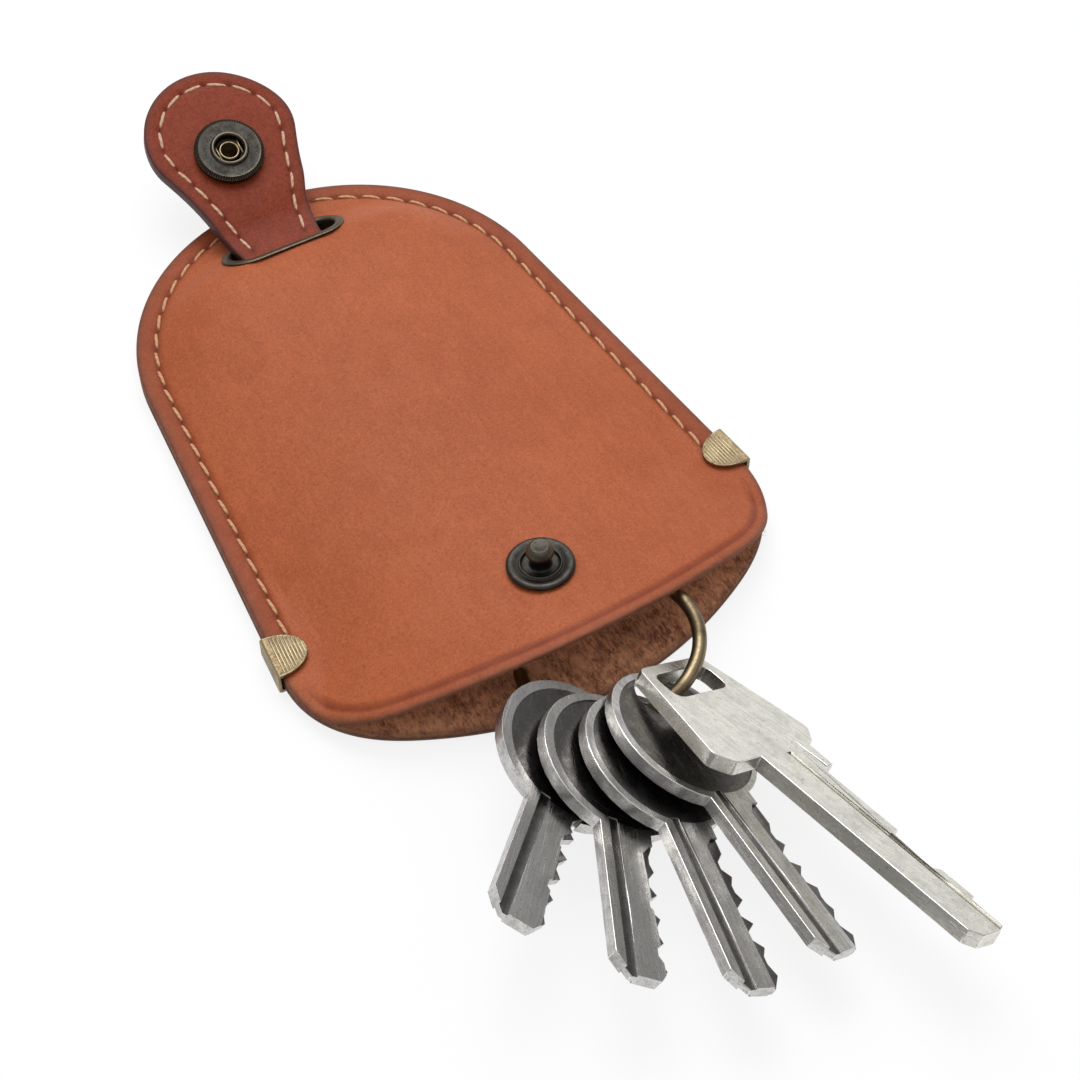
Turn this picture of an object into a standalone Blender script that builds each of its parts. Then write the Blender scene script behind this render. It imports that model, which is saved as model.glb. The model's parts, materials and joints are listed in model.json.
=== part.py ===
"""Leather key fob: a bell-shaped pouch, a pull strap with a snap tongue, and a ring of five keys.

Metres, +Z up. The origin lies on the back face, midway between the two side clips.
+Y runs from the open mouth to the tongue, +X across the pouch.
"""
import bpy
import bmesh
from math import acos, asin, atan, atan2, cos, exp, hypot, pi, radians, sin, sqrt, tan
from mathutils import Matrix, Vector

# Leather and fits
LEATHER = 0.0015
SEAT_GAP = 0.0003

# Pouch outline
HALF_WIDTH = 0.0407
ARCH_RADIUS = 0.0358
ARCH_Y = 0.0535
LIP_HALF = 0.029
BACK_LIP_Y = -0.0286
BACK_LIP_RISE = 0.0076
FRONT_LIP_Y = -0.0252
FRONT_LIP_RISE = 0.0048
CORNER_Y = -0.002

# Bulge of the front panel, measured on its underside above the flat seam
SEAM_MARGIN = 0.004
FREE_LENGTH = 0.024
BULGE_TOP = 0.0052
BULGE_SLOPE = 0.031
FLARE_Y = 0.003
FLARE_RATE = 2.5

# Slot near the arch, on a ramp that falls to the flat seam
SLOT_X = -0.0014
SLOT_Y = 0.0754
RAMP_HALF = 0.0044
RAMP_ANGLE = radians(28.5)
EYELET_HALF_LENGTH = 0.0116
EYELET_HALF_WIDTH = 0.0051
EYELET_WIRE = 0.00075

# Side clips, folded over both edges
CLIP_LENGTH = 0.0076
CLIP_REACH = 0.0052
CLIP_SHEET = 0.0006
CLIP_PINCH = 0.0034

# Snap stud on the front panel
STUD_X = -0.0009
STUD_Y = -0.0102
STUD_RADIUS = 0.00524
STUD_HEIGHT = 0.0047
STUD_POST = 0.0026
SHANK_RADIUS = 0.0012
STUD_BACK_RADIUS = 0.0040
STUD_BACK_THICK = 0.0006

# Pull strap, folded round the key ring at its inner end
STRAP_THICK = 0.0020
STRAP_HALF = 0.0074
LOOP_Y = -0.0123
LOOP_HALF = 0.0032
LOOP_LAYER = 0.0009
LOOP_HOLE_LENGTH = 0.0026
LOOP_HOLE_HEIGHT = 0.0022
LOOP_TAIL = 0.0090
TAPER_LENGTH = 0.026
BEND_LENGTH = 0.0060
STRAP_LEAN = radians(1.35)

# Tongue at the outer end of the strap
TONGUE_PITCH = radians(20.5)
TONGUE_LAYER = 0.00115
NECK_HALF = 0.0076
NECK_FILLET = 0.090
HEAD_RADIUS = 0.01206
HEAD_Y = 0.0173
HINGE_RELIEF = radians(12.0)

# Snap socket and its cap on the tongue
SOCKET_Y = 0.0134
SOCKET_RADIUS = 0.00625
SOCKET_HEIGHT = 0.0030
SOCKET_BORE = 0.0030
SOCKET_GROOVE = 0.0039
SPRING_WIRE = 0.00025
SPRING_HALF = 0.0026
TUBE_RADIUS = 0.0019
TUBE_WALL = 0.0005
CAP_RADIUS = 0.0062
CAP_HEIGHT = 0.0012

# Key ring
RING_RADIUS = 0.0135
RING_WIRE = 0.00108
RING_X = 0.0018
RING_Y = -0.0253
RING_Z = 0.0070
RING_ROLL = radians(-9.5)
RING_PITCH = radians(-8.5)
RING_SLIT = radians(2.2)

# Round-bow keys: sizes shared by all four
BOW_RADIUS = 0.0121
BOW_CENTRE = 0.0074
BOW_RECESS = 0.0093
RECESS_DEPTH = 0.00025
KEY_THICK = 0.0020
KEY_HOLE = 0.0035
BLADE_HALF = 0.0042
BLADE_GROOVE = 0.0016
GROOVE_DEPTH = 0.00045
CUT_PITCH = 0.0038
TIP_LENGTH = 0.0030

# Flat-bow key with a slotted hole, hung near the left end of the slot
FLAT_THICK = 0.0024
FLAT_TOP = 0.0146
FLAT_BOTTOM = 0.0240
FLAT_HEIGHT = 0.0215
FLAT_HOLE_HALF = 0.0062
FLAT_HOLE_RISE = 0.0027
FLAT_EDGE = 0.0046
FLAT_BLADE_LEFT = 0.0038
FLAT_BLADE_RIGHT = 0.0052
FLAT_LENGTH = 0.0562
FLAT_SHIFT = 0.0034

# Round-bow keys as they hang: node, angle on the ring, hole's offset outwards and up,
# yaw and dip of the blade, roll of the bow, length from hole to tip, depths of the cuts
ROUND_KEYS = (
    ("key_a", -46.7, -0.0004, -0.0001, -45.8, -15.0, 28.6, 0.0399, (0.8, 1.6, 1.0, 1.9, 1.2)),
    ("key_b", -30.8, 0.0006, 0.0003, -26.3, -7.6, 32.3, 0.0428, (1.5, 0.7, 1.8, 1.1, 0.6)),
    ("key_c", -14.4, 0.0009, 0.0000, -11.7, -2.7, 32.8, 0.0451, (0.9, 1.7, 1.7, 0.8, 1.4)),
    ("key_d", 1.2, -0.0012, 0.0003, 0.5, 0.9, 34.0, 0.0462, (1.2, 0.6, 1.4, 1.9, 1.0)),
)
FLAT_KEY = ("key_e", 13.2, 0.0006, 0.0018, 11.4, -3.6, 33.8)

# Colours: base colour, roughness, metallic
TAN_LEATHER = ((0.45, 0.19, 0.07), 0.50, 0.0)
BACK_LEATHER = ((0.40, 0.20, 0.10), 0.70, 0.0)
DARK_LEATHER = ((0.24, 0.09, 0.05), 0.55, 0.0)
GUNMETAL = ((0.14, 0.13, 0.12), 0.35, 1.0)
ANTIQUE_BRASS = ((0.38, 0.27, 0.14), 0.35, 1.0)
WORN_STEEL = ((0.46, 0.44, 0.41), 0.32, 1.0)
NICKEL_SILVER = ((0.62, 0.57, 0.44), 0.30, 1.0)


def clear_scene():
    for obj in list(bpy.data.objects):
        bpy.data.objects.remove(obj, do_unlink=True)


def finish(name, bm, look, matrix=None, parent=None, cutter=False):
    """Turn a bmesh into a named object with its own material."""
    bmesh.ops.remove_doubles(bm, verts=bm.verts, dist=1e-7)
    bmesh.ops.recalc_face_normals(bm, faces=bm.faces)
    mesh = bpy.data.meshes.new(name)
    bm.to_mesh(mesh)
    bm.free()
    obj = bpy.data.objects.new(name, mesh)
    bpy.context.scene.collection.objects.link(obj)
    if parent is not None:
        obj.parent = parent
    if matrix is not None:
        obj.matrix_local = matrix
    if cutter:
        obj.hide_render = True
        obj.display_type = 'WIRE'
        return obj
    colour, roughness, metallic = look
    material = bpy.data.materials.new(name)
    material.use_nodes = True
    shader = material.node_tree.nodes["Principled BSDF"]
    shader.inputs["Base Color"].default_value = (*colour, 1.0)
    shader.inputs["Roughness"].default_value = roughness
    shader.inputs["Metallic"].default_value = metallic
    mesh.materials.append(material)
    return obj


def smooth(obj, angle=radians(35)):
    obj.data.shade_smooth()
    obj.data.set_sharp_from_angle(angle=angle)


def empty(name, matrix, parent=None):
    obj = bpy.data.objects.new(name, None)
    bpy.context.scene.collection.objects.link(obj)
    obj.parent = parent
    obj.matrix_local = matrix
    return obj


def cut(obj, cutter, operation='DIFFERENCE'):
    modifier = obj.modifiers.new(cutter.name, 'BOOLEAN')
    modifier.operation = operation
    modifier.object = cutter


def slab(outline, low, high, holes=()):
    """A flat plate with the given outline in X and Y, and holes right through it."""
    bm = bmesh.new()
    edges = []
    for loop in (outline, *holes):
        ring = [bm.verts.new((x, y, low)) for x, y in loop]
        edges += [bm.edges.new((ring[i - 1], ring[i])) for i in range(len(ring))]
    bmesh.ops.triangle_fill(bm, use_beauty=True, edges=edges, normal=(0, 0, 1))
    raised = bmesh.ops.extrude_face_region(bm, geom=bm.faces[:])
    for vert in (g for g in raised["geom"] if isinstance(g, bmesh.types.BMVert)):
        vert.co.z = high
    return bm


def lathe(profile, steps, ridged=(), ridge=0.0):
    """Turn a closed profile of radius and height about Z. Ridged points go in and out."""
    bm = bmesh.new()
    columns = []
    for step in range(steps):
        angle = 2 * pi * step / steps
        column = []
        for index, (radius, height) in enumerate(profile):
            reach = radius + (ridge if index in ridged and step % 2 else 0.0)
            column.append(bm.verts.new((reach * cos(angle), reach * sin(angle), height)))
        columns.append(column)
    count = len(profile)
    for step in range(steps):
        here, there = columns[step - 1], columns[step]
        for i in range(count):
            j = (i + 1) % count
            if profile[i][0] > 0 or profile[j][0] > 0:
                bm.faces.new((here[i], there[i], there[j], here[j]))
    return bm


def tube(path, radius, sides, closed=True):
    """A round bar along a path that lies in the XY plane."""
    bm = bmesh.new()
    count = len(path)
    rings = []
    for i, point in enumerate(path):
        before = path[i - 1] if closed or i else point
        after = path[(i + 1) % count] if closed or i < count - 1 else point
        along = Vector((after[0] - before[0], after[1] - before[1], 0)).normalized()
        side = Vector((along.y, -along.x, 0))
        centre = Vector((point[0], point[1], 0))
        rings.append([
            bm.verts.new(centre + radius * (cos(a) * side + sin(a) * Vector((0, 0, 1))))
            for a in (2 * pi * k / sides for k in range(sides))
        ])
    for i in range(0 if closed else 1, count):
        for k in range(sides):
            a, b = rings[i - 1], rings[i]
            bm.faces.new((a[k - 1], a[k], b[k], b[k - 1]))
    if not closed:
        bm.faces.new(rings[0])
        bm.faces.new(rings[-1])
    return bm


def arc(centre, radius, start, end, steps):
    """Points on a circle, both ends included."""
    return [
        (centre[0] + radius * cos(start + (end - start) * i / steps),
         centre[1] + radius * sin(start + (end - start) * i / steps))
        for i in range(steps + 1)
    ]


def circle(radius, steps, centre=(0.0, 0.0)):
    return arc(centre, radius, 0, 2 * pi, steps)[:-1]


def stadium(half_length, half_width, steps):
    """A slot with round ends, long in X."""
    reach = half_length - half_width
    right = arc((reach, 0), half_width, -pi / 2, pi / 2, steps)
    left = arc((-reach, 0), half_width, pi / 2, 3 * pi / 2, steps)
    return right + left


def rounded(corners, radius, steps=4):
    """A polygon whose corners are arcs of one radius."""
    points = []
    count = len(corners)
    for i, corner in enumerate(corners):
        here = Vector(corner)
        before = (Vector(corners[i - 1]) - here).normalized()
        after = (Vector(corners[(i + 1) % count]) - here).normalized()
        half = acos(max(-1.0, min(1.0, before.dot(after)))) / 2
        centre = here + (before + after).normalized() * (radius / sin(half))
        start = here + before * (radius / tan(half)) - centre
        end = here + after * (radius / tan(half)) - centre
        first = atan2(start.y, start.x)
        sweep = (atan2(end.y, end.x) - first + pi) % (2 * pi) - pi
        points += arc(centre, radius, first, first + sweep, steps)
    return points


def side_lean():
    """Lean of the straight sides, which run tangent to the arch."""
    return acos(ARCH_RADIUS / hypot(HALF_WIDTH, ARCH_Y)) - atan2(ARCH_Y, HALF_WIDTH)


def side_x(y):
    lean = side_lean()
    return (ARCH_RADIUS - (y - ARCH_Y) * sin(lean)) / cos(lean)


def pouch_outline(lip_y, lip_rise, lip_steps=9, corner_steps=5, side_steps=8, arch_steps=14):
    """Half outline from the middle of the lip to the top of the arch, then its mirror."""
    lean = side_lean()
    right = []
    for i in range(lip_steps + 1):
        x = LIP_HALF * i / lip_steps
        right.append((x, lip_y + lip_rise * (x / LIP_HALF) ** 2))
    start = Vector(right[-1])
    slope = 2 * lip_rise / LIP_HALF
    short = ARCH_RADIUS - start.x * cos(lean) - (start.y - ARCH_Y) * sin(lean)
    knee = start + Vector((1, slope)) * (short / (cos(lean) + slope * sin(lean)))
    end = Vector((side_x(CORNER_Y), CORNER_Y))
    for i in range(1, corner_steps + 1):
        t = i / corner_steps
        point = start * (1 - t) ** 2 + knee * 2 * t * (1 - t) + end * t ** 2
        right.append((point.x, point.y))
    top_y = ARCH_Y + ARCH_RADIUS * sin(lean)
    for i in range(1, side_steps):
        y = CORNER_Y + (top_y - CORNER_Y) * i / side_steps
        right.append((side_x(y), y))
    right += arc((0, ARCH_Y), ARCH_RADIUS, lean, pi / 2, arch_steps)
    right[-1] = (0.0, ARCH_Y + ARCH_RADIUS)
    left = [(-x, y) for x, y in reversed(right[1:-1])]
    return right + left


def seam_width(y):
    """Width of the flat margin. It is wider under the clips and runs out at the free lip."""
    free = min(max(-y / FREE_LENGTH, 0.0), 1.0)
    return SEAM_MARGIN * (1 - free) + CLIP_PINCH * exp(-(y / (1.6 * CLIP_LENGTH)) ** 2)


def crown_half(y):
    """Half the width of the raised part of the front panel."""
    lean = side_lean()
    inner = ARCH_RADIUS - seam_width(y)
    rise = y - ARCH_Y
    if rise > inner * sin(lean):
        return sqrt(max(inner ** 2 - rise ** 2, 0.0))
    return inner / cos(lean) - rise * tan(lean)


def crown_height(y):
    """Height of the bulge on the centre line."""
    ramp_top = SLOT_Y - RAMP_HALF
    if y > ramp_top:
        return max(BULGE_TOP - tan(RAMP_ANGLE) * (y - ramp_top), 0.0)
    return BULGE_TOP + BULGE_SLOPE * (ramp_top - y) + FLARE_RATE * max(FLARE_Y - y, 0.0) ** 2


def crown(x, y):
    half = crown_half(y)
    if abs(x) >= half:
        return 0.0
    flat = min(max((y - ARCH_Y) / (SLOT_Y - RAMP_HALF - ARCH_Y), 0.0), 1.0)
    return crown_height(y) * (1 - (abs(x) / half) ** (2 + 2 * flat))


def underside(x, y):
    """Height of the inner face of the front panel."""
    return LEATHER + SEAT_GAP + crown(x, y)


def eyelet_matrix():
    centre = Vector((SLOT_X, SLOT_Y, underside(SLOT_X, SLOT_Y) + LEATHER / 2))
    return Matrix.Translation(centre) @ Matrix.Rotation(-RAMP_ANGLE, 4, 'X')


def stud_matrix():
    slope = (underside(STUD_X, STUD_Y - 0.001) - underside(STUD_X, STUD_Y + 0.001)) / 0.002
    top = Vector((STUD_X, STUD_Y, underside(STUD_X, STUD_Y) + LEATHER))
    return Matrix.Translation(top) @ Matrix.Rotation(-atan(slope), 4, 'X')


def make_back_panel():
    bm = slab(pouch_outline(BACK_LIP_Y, BACK_LIP_RISE), 0.0, LEATHER)
    panel = finish("pouch_back", bm, BACK_LEATHER)
    for name, matrix in clip_places():
        recess = slab(clip_outline(SEAT_GAP), -LEATHER, CLIP_SHEET + SEAT_GAP)
        cut(panel, finish("recess_" + name, recess, None, matrix, cutter=True))
    return panel


def make_front_panel():
    """Nested rings from the edge to a spine, so that the seam, ramp and bulge have their own rows."""
    outline = pouch_outline(FRONT_LIP_Y, FRONT_LIP_RISE)
    depths = (0.0, SEAM_MARGIN, 0.0065, 0.0095, 0.0125, 0.0155, 0.0183)
    shares = (1 / 3, 2 / 3, 1.0)
    spine_low, spine_high = 0.008, ARCH_Y
    rings = []
    for row in range(len(depths) + len(shares)):
        ring = []
        for x, y in outline:
            edge = Vector((x, y))
            inward = Vector((0, min(max(y, spine_low), spine_high))) - edge
            if row < len(depths):
                depth = depths[row]
            else:
                depth = depths[-1] + (inward.length - depths[-1]) * shares[row - len(depths)]
            ring.append(edge + inward.normalized() * depth)
        rings.append(ring)
    bm = bmesh.new()
    faces = []
    for lift in (0.0, LEATHER):
        faces.append([[bm.verts.new((p.x, p.y, underside(p.x, p.y) + lift)) for p in ring] for ring in rings])
    count = len(outline)
    for layer in faces:
        for row in range(1, len(rings)):
            a, b = layer[row - 1], layer[row]
            for i in range(count):
                bm.faces.new((a[i - 1], a[i], b[i], b[i - 1]))
    for i in range(count):
        a, b = faces[0][0], faces[1][0]
        bm.faces.new((a[i - 1], a[i], b[i], b[i - 1]))
    panel = finish("pouch_front", bm, TAN_LEATHER)
    opening = stadium(EYELET_HALF_LENGTH + SEAT_GAP, EYELET_HALF_WIDTH + SEAT_GAP, 8)
    cut(panel, finish("slot_cutter", slab(opening, -0.004, 0.004), None, eyelet_matrix(), cutter=True))
    hole = slab(circle(SHANK_RADIUS + SEAT_GAP, 16), -0.004, 0.004)
    cut(panel, finish("stud_hole_cutter", hole, None, stud_matrix(), cutter=True))
    smooth(panel)
    return panel


def clip_places():
    lean = side_lean()
    right = Matrix.Translation((HALF_WIDTH, 0, 0)) @ Matrix.Rotation(lean, 4, 'Z')
    left = Matrix.Translation((-HALF_WIDTH, 0, 0)) @ Matrix.Rotation(pi - lean, 4, 'Z')
    return (("clip_left", left), ("clip_right", right))


def clip_outline(extra=0.0):
    """D shape: straight along the pouch edge, round towards the middle."""
    outside = SEAT_GAP + CLIP_SHEET + extra
    half = CLIP_LENGTH / 2 + extra
    reach = CLIP_REACH + extra
    bow = [(-reach * cos(t), half * sin(t)) for t in (pi / 2 * i / 6 for i in range(-6, 7))]
    return bow + [(outside, half), (outside, -half)]


def make_clip(name, matrix):
    """A folded strip round the edge, trimmed to the D shape."""
    top = 2 * LEATHER + SEAT_GAP + SEAT_GAP + CLIP_SHEET
    wall = SEAT_GAP + CLIP_SHEET
    fold = rounded([(wall, 0.0), (wall, top), (-2 * CLIP_REACH, top), (-2 * CLIP_REACH, 0.0)], 0.0005, 3)
    jaw = [(SEAT_GAP, CLIP_SHEET), (SEAT_GAP, top - CLIP_SHEET),
           (-3 * CLIP_REACH, top - CLIP_SHEET), (-3 * CLIP_REACH, CLIP_SHEET)]
    upright = Matrix.Rotation(pi / 2, 4, 'X')
    bm = slab(fold, -CLIP_LENGTH, CLIP_LENGTH)
    bm.transform(upright)
    clip = finish(name, bm, ANTIQUE_BRASS, matrix)
    bm = slab(jaw, -2 * CLIP_LENGTH, 2 * CLIP_LENGTH)
    bm.transform(upright)
    cut(clip, finish("jaw_" + name, bm, None, matrix, cutter=True))
    trim = slab(clip_outline(), -0.001, top + 0.001)
    cut(clip, finish("trim_" + name, trim, None, matrix, cutter=True), 'INTERSECT')
    return clip


def make_eyelet():
    path = stadium(EYELET_HALF_LENGTH - EYELET_WIRE, EYELET_HALF_WIDTH - EYELET_WIRE, 8)
    eyelet = finish("slot_eyelet", tube(path, EYELET_WIRE, 8), GUNMETAL, eyelet_matrix())
    smooth(eyelet)


def make_stud():
    """Post over the leather, and the backing disc whose shank goes up into it."""
    bore = SHANK_RADIUS + SEAT_GAP
    depth = STUD_HEIGHT * 0.5
    foot = SEAT_GAP
    post = [
        (0, depth), (bore, depth), (bore, foot), (STUD_RADIUS - 0.0003, foot),
        (STUD_RADIUS, foot + 0.0003), (STUD_RADIUS - 0.0001, foot + 0.0006), (STUD_RADIUS - 0.0006, foot + 0.0007),
        (STUD_RADIUS - 0.0011, foot + 0.0004), (STUD_RADIUS - 0.0016, foot + 0.0004),
        (STUD_RADIUS - 0.0018, foot + 0.0009), (STUD_POST + 0.0002, foot + 0.0010),
        (STUD_POST - 0.0005, foot + 0.0014), (STUD_POST - 0.0006, STUD_HEIGHT * 0.58),
        (STUD_POST, STUD_HEIGHT * 0.76), (STUD_POST, STUD_HEIGHT * 0.86),
        (STUD_POST - 0.0005, STUD_HEIGHT * 0.96), (STUD_POST * 0.45, STUD_HEIGHT), (0, STUD_HEIGHT),
    ]
    stud = finish("stud_post", lathe(post, 32), GUNMETAL, stud_matrix())
    smooth(stud)
    seat = -LEATHER - 2 * SEAT_GAP
    back = [
        (0, depth - SEAT_GAP), (SHANK_RADIUS, depth - SEAT_GAP), (SHANK_RADIUS, seat),
        (STUD_BACK_RADIUS, seat), (STUD_BACK_RADIUS, seat - STUD_BACK_THICK * 0.6),
        (STUD_BACK_RADIUS * 0.8, seat - STUD_BACK_THICK), (0, seat - STUD_BACK_THICK),
    ]
    disc = finish("stud_back", lathe(back, 24), ANTIQUE_BRASS, stud_matrix())
    smooth(disc)


def strap_floor():
    """Middle of the strap's thickness where it rests on the back panel."""
    return LEATHER + SEAT_GAP + STRAP_THICK / 2


def strap_slope():
    rise = underside(0, SLOT_Y) + LEATHER / 2 - strap_floor()
    return atan(rise / (SLOT_Y - LOOP_Y))


def strap_line():
    """Side view of the strap's middle line: straight through the slot, then bent up to the tongue."""
    pitch = strap_slope()
    steps = 12
    line = []
    for i in range(steps + 1):
        y = LOOP_Y + (SLOT_Y - LOOP_Y) * i / steps
        line.append((y, strap_floor() + (y - LOOP_Y) * tan(pitch), pitch))
    y, z, turn = line[-1]
    bends = 5
    for i in range(bends):
        angle = pitch + (TONGUE_PITCH - pitch) * (i + 0.5) / bends
        y += cos(angle) * BEND_LENGTH / bends
        z += sin(angle) * BEND_LENGTH / bends
        line.append((y, z, pitch + (TONGUE_PITCH - pitch) * (i + 1) / bends))
    return line


def strap_place():
    """The strap leans to the left of the pouch's middle, about the eye that holds the ring."""
    eye = Matrix.Translation((0, LOOP_Y, 0))
    return eye @ Matrix.Rotation(STRAP_LEAN, 4, 'Z') @ eye.inverted()


def hinge_matrix():
    """Fold line of the tongue, on the strap's upper face at its outer end."""
    y, z, pitch = strap_line()[-1]
    up = tongue_thickness() / 2
    place = Vector((0, y - sin(pitch) * up, z + cos(pitch) * up))
    return strap_place() @ Matrix.Translation(place) @ Matrix.Rotation(pitch, 4, 'X')


def tongue_thickness():
    return 2 * TONGUE_LAYER + SEAT_GAP


def make_strap():
    """One strip seen from the side, with the eye that holds the key ring, given its width along X."""
    line = strap_line()
    half = STRAP_THICK / 2
    lower = [(y + sin(a) * half, z - cos(a) * half) for y, z, a in line]
    upper = [(y - sin(a) * half, z + cos(a) * half) for y, z, a in line]
    end_y, end_z = lower[-1]
    relief = STRAP_THICK * tan(HINGE_RELIEF) + SEAT_GAP / 2
    lower[-1] = (end_y - relief * cos(TONGUE_PITCH), end_z - relief * sin(TONGUE_PITCH))
    end_y, end_z = upper[-1]
    upper[-1] = (end_y - SEAT_GAP / 2 * cos(TONGUE_PITCH), end_z - SEAT_GAP / 2 * sin(TONGUE_PITCH))
    eye_z = strap_floor() - half + LOOP_LAYER + LOOP_HOLE_HEIGHT
    outer_y = LOOP_HOLE_LENGTH + LOOP_LAYER
    outer_z = LOOP_HOLE_HEIGHT + LOOP_LAYER
    bow = []
    for i in range(1, 12):
        angle = radians(-90 - 21 * i)
        bow.append((LOOP_Y + outer_y * cos(angle), eye_z + outer_z * sin(angle)))
    back = [p for p in upper if p[0] > LOOP_Y + LOOP_TAIL]
    outline = list(reversed(lower)) + bow + back
    hole = [(LOOP_Y + LOOP_HOLE_LENGTH * cos(t), eye_z + LOOP_HOLE_HEIGHT * sin(t))
            for t in (2 * pi * i / 16 for i in range(16))]
    bm = slab(outline, -1.0, 1.0, [hole])
    for vert in bm.verts:
        y, z, side = vert.co
        share = min(max((y - LOOP_Y) / TAPER_LENGTH, 0.0), 1.0)
        ease = share * share * (3 - 2 * share)
        flare = min(max((y - SLOT_Y) / BEND_LENGTH, 0.0), 1.0)
        half = LOOP_HALF + (STRAP_HALF - LOOP_HALF) * ease + (neck_half(0.0) - STRAP_HALF) * flare
        vert.co = Vector((side * half, y, z))
    strap = finish("strap", bm, DARK_LEATHER, strap_place())
    smooth(strap)
    return strap


def neck_fillet():
    """Middle of the wide fillet between the neck's right side and the head."""
    across = NECK_HALF + NECK_FILLET
    return across, HEAD_Y - sqrt((HEAD_RADIUS + NECK_FILLET) ** 2 - across ** 2)


def neck_half(y):
    """Half the width of the tongue between the hinge and the head."""
    across, middle = neck_fillet()
    return across - sqrt(NECK_FILLET ** 2 - (y - middle) ** 2)


def tongue_outline():
    """Widening neck and round head, hinge at the origin, head towards +Y."""
    start = SEAT_GAP / 2
    across, middle = neck_fillet()
    touch = atan2(HEAD_Y - middle, -across)
    first = pi - asin((start - middle) / NECK_FILLET)
    right = arc((across, middle), NECK_FILLET, first, touch, 5)
    right += arc((0, HEAD_Y), HEAD_RADIUS, touch - pi, pi / 2, 16)
    right[-1] = (0.0, HEAD_Y + HEAD_RADIUS)
    return right + [(-x, y) for x, y in reversed(right[:-1])]


def make_tongue(hinge):
    hole = circle(TUBE_RADIUS + SEAT_GAP, 20, (0, SOCKET_Y))
    lower = -tongue_thickness()
    for name, low, high in (
        ("tongue_face", -TONGUE_LAYER, 0.0),
        ("tongue_back", lower, lower + TONGUE_LAYER),
    ):
        bm = slab(tongue_outline(), low, high, [hole])
        for vert in bm.verts:
            if vert.co.y < SEAT_GAP:
                vert.co.y -= vert.co.z * tan(HINGE_RELIEF)
        smooth(finish(name, bm, DARK_LEATHER, parent=hinge))


def make_socket(hinge):
    """Knurled socket with an undercut, a wire spring in the undercut, and the cap below the tongue."""
    place = Matrix.Translation((0, SOCKET_Y, 0))
    base = SEAT_GAP
    plate = 0.0004
    rim = SOCKET_HEIGHT
    throat = TUBE_RADIUS + SEAT_GAP
    socket = [
        (throat, base), (SOCKET_RADIUS - 0.0002, base), (SOCKET_RADIUS, base + 0.0002),
        (SOCKET_RADIUS - 0.0003, base + 0.0005), (SOCKET_RADIUS - 0.0010, base + 0.0006),
        (SOCKET_RADIUS - 0.0011, rim - 0.0010), (SOCKET_RADIUS - 0.0015, rim - 0.0007),
        (SOCKET_RADIUS - 0.0020, rim - 0.0008), (SOCKET_RADIUS - 0.0022, rim - 0.0002),
        (SOCKET_BORE + 0.0008, rim), (SOCKET_BORE + 0.0002, rim), (SOCKET_BORE, rim - 0.0003),
        (SOCKET_BORE, rim - 0.0005), (SOCKET_GROOVE, rim - 0.0006),
        (SOCKET_GROOVE, base + plate), (throat, base + plate),
    ]
    smooth(finish("snap_socket", lathe(socket, 48, (5, 6), -0.00018), GUNMETAL, place, hinge))
    bend = SOCKET_GROOVE - SEAT_GAP - SPRING_WIRE
    swing = acos(SPRING_HALF / bend)
    path = arc((0, 0), bend, swing, pi - swing, 8) + arc((0, 0), bend, pi + swing, 2 * pi - swing, 8)
    lift = Matrix.Translation((0, SOCKET_Y, rim - 0.0012))
    smooth(finish("socket_spring", tube(path, SPRING_WIRE, 8), ANTIQUE_BRASS, lift, hinge))
    bed = -tongue_thickness() - SEAT_GAP
    roll_low = base + plate + SEAT_GAP
    roll_high = roll_low + 0.00025
    bore = TUBE_RADIUS - TUBE_WALL
    cap = [
        (0, bed), (bore, bed), (bore, roll_high), (TUBE_RADIUS + 0.0004, roll_high),
        (TUBE_RADIUS + 0.0005, roll_low), (TUBE_RADIUS, roll_low), (TUBE_RADIUS, bed),
        (CAP_RADIUS, bed), (CAP_RADIUS, bed - 0.0003), (CAP_RADIUS * 0.88, bed - CAP_HEIGHT * 0.62),
        (CAP_RADIUS * 0.62, bed - CAP_HEIGHT * 0.88), (0, bed - CAP_HEIGHT),
    ]
    smooth(finish("snap_cap", lathe(cap, 32), ANTIQUE_BRASS, place, hinge))


def ring_matrix():
    tilt = Matrix.Rotation(RING_ROLL, 4, 'Y') @ Matrix.Rotation(RING_PITCH, 4, 'X')
    return Matrix.Translation((RING_X, RING_Y, RING_Z)) @ tilt


def swing_matrix():
    """Middle of the eye in the strap, where the key ring swings."""
    eye_z = strap_floor() - STRAP_THICK / 2 + LOOP_LAYER + LOOP_HOLE_HEIGHT
    return Matrix.Translation((0, LOOP_Y, eye_z))


def from_swing(matrix):
    """The same place as seen from the swing's parent empty."""
    return swing_matrix().inverted() @ matrix


def make_ring(swing):
    half = RING_SLIT / 2
    path = arc((0, 0), RING_RADIUS, pi / 2 + half, 5 * pi / 2 - half, 64)
    ring = finish("key_ring", tube(path, RING_WIRE, 10, closed=False), ANTIQUE_BRASS,
                  from_swing(ring_matrix()), swing)
    smooth(ring)


def key_matrix(angle, outwards, up, yaw, dip, roll):
    """Hole of a key on the ring wire, with the blade towards its own -Y."""
    turn = radians(angle)
    reach = RING_RADIUS + outwards
    spot = ring_matrix() @ Vector((reach * sin(turn), -reach * cos(turn), up))
    tilt = Matrix.Rotation(radians(dip), 4, 'X') @ Matrix.Rotation(radians(roll), 4, 'Y')
    return Matrix.Translation(spot) @ Matrix.Rotation(radians(yaw), 4, 'Z') @ tilt


def cut_edge(depths, length, half):
    """Cut edge from the tip back to the bow: flats at each depth with sloping flanks."""
    points = [(half - 0.0015, -length + 0.0002), (half, -length + TIP_LENGTH * 0.8)]
    y = -length + TIP_LENGTH
    for depth in depths:
        root = half - depth * 0.001
        points += [(root, y + CUT_PITCH * 0.32), (root, y + CUT_PITCH * 0.62), (half, y + CUT_PITCH)]
        y += CUT_PITCH
    return points


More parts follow.
